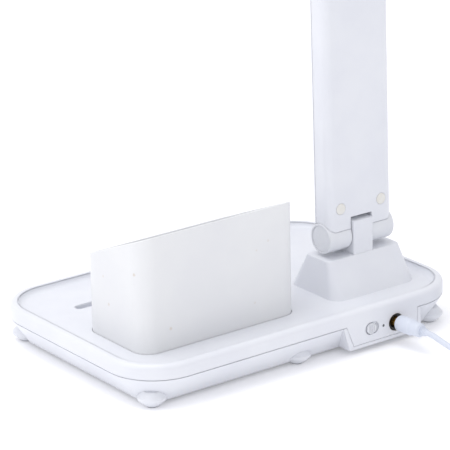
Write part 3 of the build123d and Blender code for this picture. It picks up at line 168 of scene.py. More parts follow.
@dataclass(frozen=True)
class Finish:
    """A real material with the way its surface was made.

    Args:
        name: the material's name.
        colour: its main colour, as sRGB hex.
        shade: a second tone that the first one drifts to.
        roughness: typical roughness of the surface.
    """

    name: str
    colour: str
    shade: str
    roughness: float

    def make(self) -> Material:
        """Builds the material.

        Returns:
            The material with its pattern.
        """
        material = bpy.data.materials.new(self.name)
        material.use_nodes = True
        tree = material.node_tree
        tree.nodes.clear()
        look = {"Base Color": linear(self.colour), "Roughness": self.roughness}
        shader = add_node(tree, "ShaderNodeBsdfPrincipled", look)
        add_node(tree, "ShaderNodeOutputMaterial", {"Surface": shader})
        place = add_node(tree, "ShaderNodeTexCoord").outputs["Object"]
        self.dress(Canvas(tree, shader, place))
        return material

    def drift(self, on: Canvas, share: Node) -> NodeSocket:
        """Lets the colour drift between its two tones.

        Args:
            on: the material.
            share: node with the share of the second tone.

        Returns:
            Socket with the mixed colour.
        """
        # Inputs 6 and 7 of a mix of colours are its two colours, and output 2 is the mixed one.
        tones = {"data_type": "RGBA", 0: share, 6: linear(self.colour), 7: linear(self.shade)}
        mixed = on.add("ShaderNodeMix", tones).outputs[2]
        feed(on.shader, {"Base Color": mixed})
        return mixed

    def relief(
        self, on: Canvas, height: Node, depth_mm: float, strength: float, edge_mm: float = 0.0
    ) -> None:
        """Raises the surface by a pattern, over rounded edges where it has them.

        Args:
            on: the material.
            height: node with the pattern.
            depth_mm: depth of the relief.
            strength: how much of it shows.
            edge_mm: rounding of the edges, or zero for none.
        """
        values = {"Height": height, "Strength": strength, "Distance": depth_mm * MM}
        if edge_mm:
            values["Normal"] = on.add("ShaderNodeBevel", {"samples": 4, "Radius": edge_mm * MM})
        feed(on.shader, {"Normal": on.add("ShaderNodeBump", values)})

    def dress(self, on: Canvas) -> None:
        """Adds the pattern of this finish.

        Args:
            on: the material.
        """
        raise NotImplementedError


@dataclass(frozen=True)
class MouldedPlastic(Finish):
    """Injection-moulded plastic from a finely spark-eroded tool.

    Args:
        grain_mm: width of one grain of the tool's texture.
        grain_depth_mm: depth of that grain.
        cloud_mm: width of the faint clouds where the melt flowed.
        cloud_sheen: how much glossier and how much duller the clouds are.
        edge_mm: rounding that every moulded edge has.
        scuffs: share of the places for a scuff that have one.
        scuff_colour: colour of a scuff, as sRGB hex.
        scuff_gap_mm: distance between those places.
        scuff_grain_mm: width of the streaks in a scuff.
        ior: index of refraction.
    """

    grain_mm: float = 0.45
    grain_depth_mm: float = 0.006
    cloud_mm: float = 22.0
    cloud_sheen: tuple[float, float] = (0.03, 0.04)
    edge_mm: float = 0.25
    scuffs: float = 0.0
    scuff_colour: str = "#BFA582"
    scuff_gap_mm: float = 9.0
    scuff_grain_mm: float = 1.2
    ior: float = 1.53

    def dress(self, on: Canvas) -> None:
        """Adds clouds, fine grain, rounded edges and, where asked for, scuffs.

        Args:
            on: the material.
        """
        cloud = on.pattern("ShaderNodeTexNoise", self.cloud_mm, {"Detail": 3.0})
        values = {"Value": cloud, "From Min": 0.38, "From Max": 0.62}
        mixed = self.drift(on, on.add("ShaderNodeMapRange", values))
        glossier, duller = self.cloud_sheen
        values = {"Value": cloud, "From Min": 0.3, "From Max": 0.7}
        values |= {"To Min": self.roughness - glossier, "To Max": self.roughness + duller}
        sheen = on.add("ShaderNodeMapRange", values)
        feed(on.shader, {"IOR": self.ior, "Roughness": sheen})
        grain = on.pattern("ShaderNodeTexNoise", self.grain_mm, {"Detail": 2.0})
        self.relief(on, grain, self.grain_depth_mm, strength=0.5, edge_mm=self.edge_mm)
        if self.scuffs:
            self.scuff(on, mixed)

    def scuff(self, on: Canvas, below: NodeSocket) -> None:
        """Adds faint marks, a millimetre or two wide, as a much-handled box has.

        Args:
            on: the material.
            below: socket with the colour below the marks.
        """
        cells = on.pattern("ShaderNodeTexVoronoi", self.scuff_gap_mm, {"Randomness": 1.0})
        faint = on.add("ShaderNodeMapRange", {"Value": cells, "From Min": 0.15, "From Max": 0.06})
        pick = on.add("ShaderNodeSeparateColor", {"Color": cells.outputs[1]})
        chosen = on.add("ShaderNodeMath", {"operation": "LESS_THAN", 0: pick, 1: self.scuffs})
        streaks = on.pattern("ShaderNodeTexNoise", self.scuff_grain_mm, {"Detail": 2.0})
        for other in (chosen, streaks):
            faint = on.add("ShaderNodeMath", {"operation": "MULTIPLY", 0: faint, 1: other})
        values = {"data_type": "RGBA", 0: faint, 6: below, 7: linear(self.scuff_colour)}
        feed(on.shader, {"Base Color": on.add("ShaderNodeMix", values).outputs[2]})


@dataclass(frozen=True)
class SoftSkin(Finish):
    """Matte elastomer or coated paper, with a skin that is dull and a little uneven.

    Args:
        pore_mm: width of one pore of the skin.
        pore_depth_mm: depth of that pore.
        glow: light that comes through it from below, as on a light table.
        ior: index of refraction.
    """

    pore_mm: float = 0.6
    pore_depth_mm: float = 0.02
    glow: float = 0.0
    ior: float = 1.5

    def dress(self, on: Canvas) -> None:
        """Adds pores, a drift of tone and the light from below.

        Args:
            on: the material.
        """
        look = {"IOR": self.ior, "Emission Color": linear(self.colour), "Emission Strength": self.glow}
        feed(on.shader, look)
        pores = on.pattern("ShaderNodeTexNoise", self.pore_mm, {"Detail": 3.0})
        self.drift(on, pores)
        self.relief(on, pores, self.pore_depth_mm, strength=0.6)


@dataclass(frozen=True)
class Metal(Finish):
    """Rolled, plated or turned metal.

    Args:
        line_mm: spacing of the fine lines that rolling, turning or plating leaves.
        stretch: how close the lines lie along each axis; a small number draws them out.
        depth_mm: depth of the lines.
        cloud_mm: width of the brighter and duller clouds.
        cloud_sheen: how much the roughness differs between them.
        edge_mm: rounding of the stamped or turned edges.
    """

    line_mm: float = 0.3
    stretch: Point = (1.0, 1.0, 1.0)
    depth_mm: float = 0.004
    cloud_mm: float = 6.0
    cloud_sheen: float = 0.08
    edge_mm: float = 0.12

    def dress(self, on: Canvas) -> None:
        """Adds fine lines and clouds of brighter and duller metal.

        Args:
            on: the material.
        """
        drawn = on.add("ShaderNodeMapping", {"Vector": on.place, "Scale": self.stretch})
        lines = on.pattern("ShaderNodeTexNoise", self.line_mm, {"Vector": drawn, "Detail": 3.0})
        clouds = on.pattern("ShaderNodeTexNoise", self.cloud_mm, {"Detail": 4.0})
        self.drift(on, clouds)
        low, high = self.roughness - self.cloud_sheen, self.roughness + self.cloud_sheen
        dull = on.add("ShaderNodeMapRange", {"Value": clouds, "To Min": low, "To Max": high})
        feed(on.shader, {"Metallic": 1.0, "Roughness": dull})
        self.relief(on, lines, self.depth_mm, strength=0.6, edge_mm=self.edge_mm)


@dataclass(frozen=True)
class CellSheet(Finish):
    """A skin of small cells: crinkled foil, foam or a lacquered circuit board.

    Args:
        cell_mm: width of one cell, crease or track.
        depth_mm: how deep the cells are.
        metallic: one for foil, zero for foam and lacquer.
        distance: how a cell's width is measured, which makes it round or square.
        blend: from where to where in a cell its two tones blend.
    """

    cell_mm: float
    depth_mm: float
    metallic: float = 0.0
    distance: str = "EUCLIDEAN"
    blend: tuple[float, float] = (0.1, 0.7)

    def dress(self, on: Canvas) -> None:
        """Adds the cells as colour and as relief.

        Args:
            on: the material.
        """
        feed(on.shader, {"Metallic": self.metallic})
        cells = on.pattern("ShaderNodeTexVoronoi", self.cell_mm, {"distance": self.distance})
        start, end = self.blend
        share = on.add("ShaderNodeMapRange", {"Value": cells, "From Min": start, "From Max": end})
        self.drift(on, share)
        self.relief(on, share, self.depth_mm, strength=0.7)


@dataclass(frozen=True)
class ClearPlastic(Finish):
    """Cast or moulded plastic that passes light, clear or milky.

    Args:
        clarity: share of the light that passes through.
        prism_mm: width of the fine prisms that spread the light.
        prism_depth_mm: their depth.
        ior: index of refraction.
    """

    clarity: float
    prism_mm: float = 1.2
    prism_depth_mm: float = 0.02
    ior: float = 1.49

    def dress(self, on: Canvas) -> None:
        """Adds transmission and fine prisms.

        Args:
            on: the material.
        """
        feed(on.shader, {"IOR": self.ior, "Transmission Weight": self.clarity})
        prisms = on.pattern("ShaderNodeTexVoronoi", self.prism_mm)
        self.drift(on, prisms)
        self.relief(on, prisms, self.prism_depth_mm, strength=0.25)


# Lacquer over copper tracks shows square cells, and its two tones meet in a line.
SQUARE_TRACKS = {"distance": "CHEBYCHEV", "blend": (0.40, 0.44)}


class Palette(Enum):
    """Every finish of the lamp, each named for its material and how its surface was made."""

    # Satin white with a breath of blue: the tool's grain only softens the reflections.
    SHELL = MouldedPlastic("moulded_abs_cool_white", "#E4E6EB", "#E1E3E9", 0.36, edge_mm=0.5)
    # The box is a touch warmer and duller than the base, with a few rubbed spots.
    BOX = MouldedPlastic(
        "moulded_abs_warm_white", "#E5E6E7", "#E2E3E5", 0.42, cloud_mm=30.0, scuffs=0.30
    )
    # The covers over the screws have aged to ivory.
    IVORY = MouldedPlastic("moulded_acetal_ivory", "#E6E5E0", "#E3E1DA", 0.45, cloud_mm=3.0)
    # The caps and forks are the same white, a shade greyer.
    HINGE = MouldedPlastic("moulded_abs_hinge_white", "#E0E2E6", "#DDDFE4", 0.33, cloud_mm=9.0)
    # Matte white reflector walls inside the head.
    REFLECTOR = MouldedPlastic("moulded_pc_reflector_white", "#FAFAF8", "#F4F4F1", 0.6)
    # Dark fibre-filled nylon of switches and sockets.
    NYLON = MouldedPlastic("moulded_nylon_black", "#1B1C1F", "#26272B", 0.5, cloud_mm=4.0)
    # Washers of filled acetal that give the hinge its drag.
    DRAG = MouldedPlastic("moulded_acetal_charcoal", "#2E2F33", "#3A3B40", 0.55, cloud_mm=2.0)
    # Connector housings keep the natural milk colour of nylon.
    NATURAL = MouldedPlastic("moulded_nylon_natural", "#E9E4D6", "#DDD7C6", 0.5, cloud_mm=2.0)
    # Rubber feet, dull light grey.
    FOOT = SoftSkin("pressed_rubber_grey", "#8C9096", "#7C8087", 0.8)
    # Lead and plugs: smooth bluish-white soft vinyl.
    VINYL = SoftSkin("extruded_vinyl_white", "#D6DBE6", "#D1D7E3", 0.42, pore_depth_mm=0.008)
    # Tie of soft silicone.
    STRAP = SoftSkin("moulded_silicone_strap", "#D5DCE8", "#CBD3E0", 0.6)
    # Sleeve of the inner wires.
    SLEEVE = SoftSkin("extruded_pvc_red", "#B3261E", "#9C1F18", 0.4, pore_depth_mm=0.004)
    # Spangled zinc on the ballast.
    GALVANISED = Metal("hot_dip_zinc_spangle", "#B4B7BB", "#8F9398", 0.42, line_mm=3.5, depth_mm=0.01)
    # Bright zinc on screws, pins and nuts.
    ZINC = Metal("electroplated_zinc", "#C9CCD2", "#A9ADB5", 0.3)
    # Turned brass with rings round its axis.
    BRASS = Metal("turned_brass", "#D9B25F", "#B98F45", 0.22, line_mm=0.15, stretch=(1.0, 6.0, 1.0))
    # Rolled aluminium, its lines drawn out along the height of the lamp.
    ROLLED = Metal(
        "rolled_aluminium", "#D3D5D9", "#BEC1C6", 0.38, line_mm=0.35, stretch=(6.0, 6.0, 0.4)
    )
    # Nickel on the mouth of the charging plug.
    NICKEL = Metal("nickel_plated_steel", "#D6D4CE", "#C2C0BA", 0.18, line_mm=0.2)
    # Laminated foil pouch with soft creases.
    FOIL = CellSheet("laminated_foil", "#C9CCD1", "#AEB2B9", 0.3, 9.0, 0.25, metallic=1.0)
    # Closed-cell foam.
    FOAM = CellSheet("closed_cell_foam", "#2A2A2D", "#161618", 0.9, 0.9, 0.2)
    # Green lacquer over copper tracks.
    BOARD = CellSheet(
        "lacquered_circuit_board", "#14603A", "#1F7A4B", 0.35, 3.0, 0.03, **SQUARE_TRACKS
    )
    # White lacquer on the aluminium strip of the LEDs.
    LED_BOARD = CellSheet(
        "lacquered_led_strip", "#F2F2EE", "#E6E6E0", 0.45, 5.0, 0.02, **SQUARE_TRACKS
    )
    # Milky acrylic that hides the LEDs.
    MILKY = ClearPlastic("cast_acrylic_milky", "#F7F8F8", "#F1F3F4", 0.45, clarity=0.35)
    # Clear light pipe of the charge light.
    PIPE = ClearPlastic("moulded_acrylic_clear", "#E4ECEF", "#D5E2E8", 0.12, clarity=0.85)
    # Yellow phosphor gel of the LEDs.
    PHOSPHOR = ClearPlastic("cast_phosphor_gel", "#F2CF4A", "#E9BE35", 0.3, clarity=0.1, prism_mm=0.3)
    # Studio sheet, softly lit from below, its fibres drawn wider than real ones so that they show.
    PAPER = SoftSkin("coated_paper_sweep", "#FCFCFD", "#FAFAFC", 0.9, pore_mm=2.0, glow=0.10)

    def material(self) -> Material:
        """Returns this finish's material, which is made once."""
        return bpy.data.materials.get(self.value.name) or self.value.make()


CAD_FINISHES: dict[Palette, tuple[str, ...]] = {
    Palette.SHELL: (
        "base_top_shell", "base_bottom_shell",
        "arm_rear_shell", "arm_front_shell",
        "head_cover", "head_bezel",
    ),
    Palette.HINGE: ("head_tongue", "lower_fork", "upper_fork", "hinge_caps", "switch_knob"),
    Palette.BOX: ("pen_box",),
    Palette.IVORY: ("screw_covers",),
    Palette.FOOT: ("foot_pads",),
    Palette.GALVANISED: ("ballast_plate",),
    Palette.ZINC: ("hinge_nuts", "hinge_pins", "hinge_springs", "base_bush", "head_bush"),
    Palette.DRAG: ("friction_washers",),
    Palette.FOIL: ("battery_pack",),
    Palette.FOAM: ("battery_pads",),
    Palette.BOARD: ("control_board",),
    Palette.NYLON: ("power_socket", "switch_body"),
    Palette.PIPE: ("charge_light",),
    Palette.BRASS: ("plug_barrel", "socket_pin"),
    Palette.SLEEVE: ("base_wires", "arm_wire", "head_wire"),
    Palette.ROLLED: ("arm_stiffener", "heat_spreader"),
    Palette.MILKY: ("diffuser",),
    Palette.REFLECTOR: ("light_ring",),
    Palette.LED_BOARD: ("led_board",),
    Palette.STRAP: ("coil_tie",),
}


def dress_cad_nodes() -> None:
    """Gives each CAD node that stays in the picture its finish."""
    for finish, names in CAD_FINISHES.items():
        for name in names:
            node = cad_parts[name]
            if not node.material_slots:
                node.data.materials.append(finish.material())
            for slot in node.material_slots:
                slot.material = finish.material()
            LOG.info("%s wears %s", name, finish.value.name)


# ---- mesh helpers --------------------------------------------------------------------------


def add_object(name: str, data: ID) -> Object:
    """Adds an object to the scene.

    Args:
        name: its name.
        data: its mesh, curve, light or camera.

    Returns:
        The new object.
    """
    made = bpy.data.objects.new(name, data)
    bpy.context.scene.collection.objects.link(made)
    return made


def applied(thing: Object) -> Mesh:
    """Returns the mesh that an object's modifiers make of it."""
    graph = bpy.context.evaluated_depsgraph_get()
    return bpy.data.meshes.new_from_object(thing.evaluated_get(graph))


def new_piece(
    name: str,
    shape: BMesh | Mesh,
    finish: Palette | None,
    body: Body,
    replaces: tuple[str, ...] = (),
) -> Object:
    """Makes a shape a piece of the lamp.

    Args:
        name: name of the piece.
        shape: its bmesh or its finished mesh, in place.
        finish: its finish, or None where the mesh already has its materials.
        body: the body it moves with.
        replaces: CAD nodes that it stands for.

    Returns:
        The new object.
    """
    mesh = mesh_from(shape, name) if isinstance(shape, BMesh) else shape
    piece = add_object(name, mesh)
    if finish is not None:
        mesh.materials.append(finish.material())
    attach(piece, body.value)
    if replaces:
        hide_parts(*replaces)
    LOG.info("%s: %d faces, on %s", name, len(mesh.polygons), body.value)
    return piece


def smooth_shade(mesh: Mesh, sharp_degrees: float) -> None:
    """Shades a mesh smoothly between its sharp edges.

    Args:
        mesh: the mesh.
        sharp_degrees: edges that turn more than this stay sharp.
    """
    mesh.polygons.foreach_set("use_smooth", [True] * len(mesh.polygons))
    mesh.set_sharp_from_angle(angle=math.radians(sharp_degrees))


def mesh_from(work: BMesh, name: str, sharp_degrees: float = 40.0) -> Mesh:
    """Turns a bmesh into a mesh with outward faces and smooth shading.

    Args:
        work: the bmesh, which is freed.
        name: name of the mesh.
        sharp_degrees: edges that turn more than this stay sharp.

    Returns:
        The mesh.
    """
    bmesh.ops.remove_doubles(work, verts=work.verts, dist=WELD)
    bmesh.ops.recalc_face_normals(work, faces=work.faces)
    mesh = bpy.data.meshes.new(name)
    work.to_mesh(mesh)
    work.free()
    smooth_shade(mesh, sharp_degrees)
    return mesh


def skin_rings(work: BMesh, rings: list[list[BMVert]]) -> None:
    """Joins rings of equal length with faces and closes both ends.

    Args:
        work: the bmesh that has the rings.
        rings: the rings, in order.
    """
    count = len(rings[0])
    for low, high in zip(rings, rings[1:]):
        for step in range(count):
            after = (step + 1) % count
            work.faces.new((low[step], low[after], high[after], high[step]))
    work.faces.new(list(reversed(rings[0])))
    work.faces.new(rings[-1])


def lathe(
    work: BMesh,
    profile: list[tuple[float, float]],
    start: Vector,
    direction: Vector,
    segments: int,
) -> None:
    """Turns a profile about an axis and closes its ends.

    Args:
        work: the bmesh that gets the shape.
        profile: distance along the axis and radius, from one end to the other.
        start: the axis starts here.
        direction: the way that the axis runs.
        segments: faces round the shape.
    """
    turn = direction.to_track_quat("Z", "Y").to_matrix()
    rings = []
    for along, radius in profile:
        ring = []
        for step in range(segments):
            angle = 2.0 * math.pi * step / segments
            local = Vector((radius * math.cos(angle), radius * math.sin(angle), along))
            ring.append(work.verts.new(start + turn @ local))
        rings.append(ring)
    skin_rings(work, rings)


def rounded_block(
    work: BMesh,
    low: Point,
    high: Point,
    corner: float,
    edge: float,
    axis: int = 1,
    segments: int = 5,
) -> None:
    """Adds a block with round corners along one axis and softened ends.

    Args:
        work: the bmesh that gets the block.
        low: its lowest corner.
        high: its highest corner.
        corner: radius of the corners about the axis.
        edge: rounding of the two ends.
        axis: number of the axis that the corners run along.
        segments: steps in each corner.
    """
    first, second = [number for number in range(3) if number != axis]
    # Each end is softened in two steps: the height above the end, and how far the outline stands in.
    ends = [(0.0, edge), (0.3 * edge, 0.3 * edge), (edge, 0.0)]
    levels = [(low[axis] + rise, inset) for rise, inset in ends]
    levels += [(high[axis] - rise, inset) for rise, inset in reversed(ends)]
    rings = []
    for level, inset in levels:
        radius = max(corner - inset, LEAST_CORNER)
        ring = []
        corners = (
            (high[first] - inset, high[second] - inset, 0.0),
            (low[first] + inset, high[second] - inset, 90.0),
            (low[first] + inset, low[second] + inset, 180.0),
            (high[first] - inset, low[second] + inset, 270.0),
        )
        for outer_a, outer_b, start in corners:
            side_a = math.copysign(radius, math.cos(math.radians(start + 45.0)))
            side_b = math.copysign(radius, math.sin(math.radians(start + 45.0)))
            for step in range(segments + 1):
                angle = math.radians(start + 90.0 * step / segments)
                place = [0.0, 0.0, 0.0]
                place[axis] = level
                place[first] = outer_a - side_a + radius * math.cos(angle)
                place[second] = outer_b - side_b + radius * math.sin(angle)
                ring.append(work.verts.new(place))
        rings.append(ring)
    skin_rings(work, rings)


def cut_block(piece: Object, low: Point, high: Point) -> None:
    """Cuts a block out of a piece and keeps the result as its mesh.

    Args:
        piece: the piece.
        low: lowest corner of the block.
        high: its highest corner.
    """
    work = bmesh.new()
    size = Vector(high) - Vector(low)
    centre = (Vector(high) + Vector(low)) / 2.0
    place = Matrix.Translation(centre) @ Matrix.Diagonal((*size, 1.0))
    bmesh.ops.create_cube(work, size=1.0, matrix=place)
    mesh = bpy.data.meshes.new("cutter")
    work.to_mesh(mesh)
    work.free()
    cutter = add_object("cutter", mesh)
    modifier = piece.modifiers.new("cut", "BOOLEAN")
    modifier.operation = "DIFFERENCE"
    modifier.solver = "EXACT"
    modifier.object = cutter
    result = applied(piece)
    piece.modifiers.remove(modifier)
    piece.data = result
    bpy.data.objects.remove(cutter)


def middle_of(places: list[Vector]) -> Vector:
    """Returns the mean of some places."""
    return sum(places, Vector()) / len(places)


def islands(name: str) -> list[list[Vector]]:
    """Splits a CAD node into its separate solids.

    Args:
        name: the CAD node.

    Returns:
        For each solid, the places of its vertices, in a steady order.
    """
    work = bmesh.new()
    work.from_mesh(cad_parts[name].data)
    bmesh.ops.remove_doubles(work, verts=work.verts, dist=WELD)
    seen: set[int] = set()
    found = []
    for seed in work.verts:
        if seed.index in seen:
            continue
        stack, places = [seed], []
        seen.add(seed.index)
        while stack:
            vertex = stack.pop()
            places.append(vertex.co.copy())
            for link in vertex.link_edges:
                other = link.other_vert(vertex)
                if other.index not in seen:
                    seen.add(other.index)
                    stack.append(other)
        found.append(places)
    work.free()
    return sorted(found, key=lambda places: tuple(round(part, 4) for part in middle_of(places)))


# ---- geometry nodes ------------------------------------------------------------------------


@dataclass
class NodeRecipe:
    """A geometry-nodes tree with named inputs, turned into a plain mesh for one piece.

    Args:
        name: name of the tree.
        sizes: its named lengths in metres, its shares, the largest turn of a shape and its seed.
        finishes: its named finishes.
    """

    name: str
    sizes: dict[str, float | int]
    finishes: dict[str, Palette]
    tree: NodeTree = field(init=False)
    at: dict[str, NodeSocket] = field(init=False)

    def __post_init__(self) -> None:
        """Starts the tree with its inputs and its output, and lists the sockets of the inputs."""
        self.tree = bpy.data.node_groups.new(self.name, "GeometryNodeTree")
        face = self.tree.interface
        face.new_socket(name="Geometry", in_out="INPUT", socket_type="NodeSocketGeometry")
        for label, value in self.sizes.items():
            kind = "NodeSocketInt" if isinstance(value, int) else "NodeSocketFloat"
            face.new_socket(name=label, in_out="INPUT", socket_type=kind)
        for label in self.finishes:
            face.new_socket(name=label, in_out="INPUT", socket_type="NodeSocketMaterial")
        face.new_socket(name="Geometry", in_out="OUTPUT", socket_type="NodeSocketGeometry")
        source = add_node(self.tree, "NodeGroupInput")
        self.at = {socket.name: socket for socket in source.outputs}

    def work_out(self, rules: dict[str, tuple[str, str, str | float]]) -> None:
        """Works out further sizes from the named ones.

        Args:
            rules: each new size, with an operation, the size that it starts from, and the size or
                number that this is combined with.
        """
        for label, (operation, first, second) in rules.items():
            other = self.at[second] if isinstance(second, str) else second
            values = {"operation": operation, 0: self.at[first], 1: other}
            self.at[label] = self.add("ShaderNodeMath", values).outputs[0]

    def add(self, kind: str, values: dict) -> Node:
        """Adds a node to the tree and returns it."""
        return add_node(self.tree, kind, values)

    def block(self, x: str, y: str, z: str, rows: int = 2) -> Node:
        """Adds a block about the origin.

        Args:
            x: name of its size along X.
            y: name of its size along Y.
            z: name of its size along Z.
            rows: rows of vertices along Z.

        Returns:
            The block's node.
        """
        size = self.add("ShaderNodeCombineXYZ", {"X": self.at[x], "Y": self.at[y], "Z": self.at[z]})
        return self.add("GeometryNodeMeshCube", {"Size": size, "Vertices Z": rows})

    def moved(self, shape: Node, z: str | float, turn: float = 0.0) -> Node:
        """Turns a shape about Z and shifts it along Z.

        Args:
            shape: the shape's node.
            z: the shift, as a number or as the name of a size.
            turn: the turn.

        Returns:
            The node of the moved shape.
        """
        shift = self.add("ShaderNodeCombineXYZ", {"Z": self.at[z] if isinstance(z, str) else z})
        values = {"Geometry": shape, "Translation": shift, "Rotation": (0.0, 0.0, turn)}
        return self.add("GeometryNodeTransform", values)

    def close(self, shape: Node, label: str | None) -> None:
        """Puts the shape on each of the piece's points, along their direction, and ends the tree.

        Args:
            shape: node of one finished shape, along Z.
            label: the finish of the whole, or None where its parts have theirs.
        """
        values = {"data_type": "FLOAT_VECTOR", "Name": "direction"}
        aim = self.add("GeometryNodeInputNamedAttribute", values)
        along = self.add("FunctionNodeAlignRotationToVector", {"axis": "Z", "Vector": aim})
        # Inputs 3 and 8 of a random number are its largest value and its seed, and output 1 is the number.
        values = {"data_type": "FLOAT", 3: self.at["Turn"], 8: self.at["Seed"]}
        spin = self.add("FunctionNodeRandomValue", values).outputs[1]
        own = self.add("FunctionNodeAxisAngleToRotation", {"Angle": spin})
        values = {"rotation_space": "LOCAL", "Rotation": along, "Rotate By": own}
        both = self.add("FunctionNodeRotateRotation", values)
        values = {"Points": self.at["Geometry"], "Instance": shape, "Rotation": both}
        placed = self.add("GeometryNodeInstanceOnPoints", values)
        real = self.add("GeometryNodeRealizeInstances", {"Geometry": placed})
        if label is not None:
            values = {"Geometry": real, "Material": self.at[label]}
            real = self.add("GeometryNodeSetMaterial", values)
        self.add("NodeGroupOutput", {"Geometry": real})

    def grow(
        self, piece: str, points: Places, body: Body, replaces: tuple[str, ...] = ()
    ) -> Object:
        """Runs the tree on points and keeps the result as a plain mesh.

        Args:
            piece: name of the new piece.
            points: the place and direction of each shape.
            body: the body that the piece moves with.
            replaces: CAD nodes that it stands for.

        Returns:
            The new piece.
        """
        seeds = bpy.data.meshes.new(f"{piece}_points")
        seeds.from_pydata([place for place, _ in points], [], [])
        aims = seeds.attributes.new("direction", "FLOAT_VECTOR", "POINT")
        aims.data.foreach_set("vector", [part for _, way in points for part in way])
        carrier = add_object(f"{piece}_carrier", seeds)
        modifier = carrier.modifiers.new(self.name, "NODES")
        modifier.node_group = self.tree
        for item in self.tree.interface.items_tree:
            if item.in_out != "INPUT" or item.name == "Geometry":
                continue
            if item.name in self.sizes:
                modifier[item.identifier] = self.sizes[item.name]
            else:
                modifier[item.identifier] = self.finishes[item.name].material()
        mesh = applied(carrier)
        carrier.modifiers.remove(modifier)
        bpy.data.objects.remove(carrier)
        smooth_shade(mesh, sharp_degrees=32.0)
        return new_piece(piece, mesh, None, body, replaces)


# ---- studio --------------------------------------------------------------------------------


@dataclass
class Studio:
    """Camera, lights and floor of the catalogue picture.

    Args:
        camera_place: where the lens stands.
        azimuth: heading of the lens, from +Y towards +X, in degrees.
        elevation: how far it looks down, in degrees.
        roll: how far the camera leans, in degrees.
        lens_mm: focal length on a sensor 36 mm wide.
        floor_near: Y at which the floor starts.
        floor_depth: how far it runs from there.
        floor_rise: height that it curves up to at its far end.
        floor_columns: X of its columns of points.
        floor_steps: number of its strips.
        aim: point that the lights look at.
        lamp_colour: colour of the lights, as sRGB hex.
        sky_colour: colour of the even light, as sRGB hex.
        sky_strength: strength of the even light.
    """

    camera_place: Point = (-0.7903, -1.0710, 0.5270)
    azimuth: float = 36.390
    elevation: float = 19.363
    roll: float = -1.206
    lens_mm: float = 214.03
    floor_near: float = -6.0
    floor_depth: float = 18.0
    floor_rise: float = 5.0
    floor_columns: tuple[float, ...] = (-14.0, -5.0, 0.0, 5.0, 14.0)
    floor_steps: int = 24
    aim: Point = (0.0, 0.0, 0.1)
    lamp_colour: str = "#FDFDFF"
    sky_colour: str = "#FCFCFF"
    sky_strength: float = 0.86

    def camera(self) -> None:
        """Sets the camera at the photograph's viewing angle."""
        heading, dip = math.radians(self.azimuth), math.radians(self.elevation)
        lean = math.radians(self.roll)
        forward = Vector(
            (math.sin(heading) * math.cos(dip), math.cos(heading) * math.cos(dip), -math.sin(dip))
        )
        right = Vector((math.cos(heading), -math.sin(heading), 0.0))
        up = right.cross(forward)
        leaned_right = math.cos(lean) * right + math.sin(lean) * up
        leaned_up = math.cos(lean) * up - math.sin(lean) * right
        turn = Matrix((leaned_right, leaned_up, -forward)).transposed().to_4x4()
        data = bpy.data.cameras.new("camera")
        data.sensor_width = 36.0
        data.lens = self.lens_mm
        data.clip_start, data.clip_end = 0.05, 30.0
        camera = add_object("camera", data)
        camera.matrix_world = Matrix.Translation(self.camera_place) @ turn
        bpy.context.scene.camera = camera

    def light(self, name: str, place: Point, size: float, power: float) -> None:
        """Adds a square soft light that looks at the lamp.

        Args:
            name: name of the light.
            place: where it hangs.
            size: its side.
            power: its power in watts.
        """
        data = bpy.data.lights.new(name, "AREA")
        data.shape = "SQUARE"
        data.size = size
        data.energy = power
        data.color = linear(self.lamp_colour)[:3]
        lamp = add_object(name, data)
        lamp.location = place
        way = Vector(self.aim) - Vector(place)
        lamp.rotation_euler = way.to_track_quat("-Z", "Y").to_euler()

    def floor(self) -> None:
        """Adds the pale floor, a wide sheet that curves up far behind."""
        work = bmesh.new()
        rows = []
        for step in range(self.floor_steps + 1):
            share = step / self.floor_steps
            y = self.floor_near + self.floor_depth * share
            z = self.floor_rise * (max(0.0, share - 0.5) * 2.0) ** 3
            rows.append([work.verts.new((x, y, z)) for x in self.floor_columns])
        for low, high in zip(rows, rows[1:]):
            for left in range(len(self.floor_columns) - 1):
                work.faces.new((low[left], low[left + 1], high[left + 1], high[left]))
        mesh = mesh_from(work, "floor", sharp_degrees=80.0)
        mesh.materials.append(Palette.PAPER.material())
        add_object("floor", mesh)

    def sky(self) -> None:
        """Fills the studio with even light and keeps its whites white."""
        world = bpy.data.worlds.new("studio")
        world.use_nodes = True
        look = {"Color": linear(self.sky_colour), "Strength": self.sky_strength}
        feed(world.node_tree.nodes["Background"], look)
        bpy.context.scene.world = world
        bpy.context.scene.view_settings.view_transform = "Standard"

    def build(self) -> None:
        """Builds the studio."""
        self.camera()
        self.floor()
        self.sky()
        self.light("key_left", (-3.2, 0.1, 1.9), size=1.6, power=15.0)
        self.light("top_soft", (-0.5, 0.4, 3.0), size=2.0, power=34.0)
        LOG.info("studio ready")


# ---- lead and its plugs --------------------------------------------------------------------


def ease(value: float, start: float, end: float) -> float:
    """Says how far a value has gone from start to end, slowly at both.

    Args:
        value: the value.
        start: where it starts to move.
        end: where it has arrived.

    Returns:
        A share from zero to one.
    """
    share = min(1.0, max(0.0, (value - start) / (end - start)))
    return share * share * (3.0 - 2.0 * share)


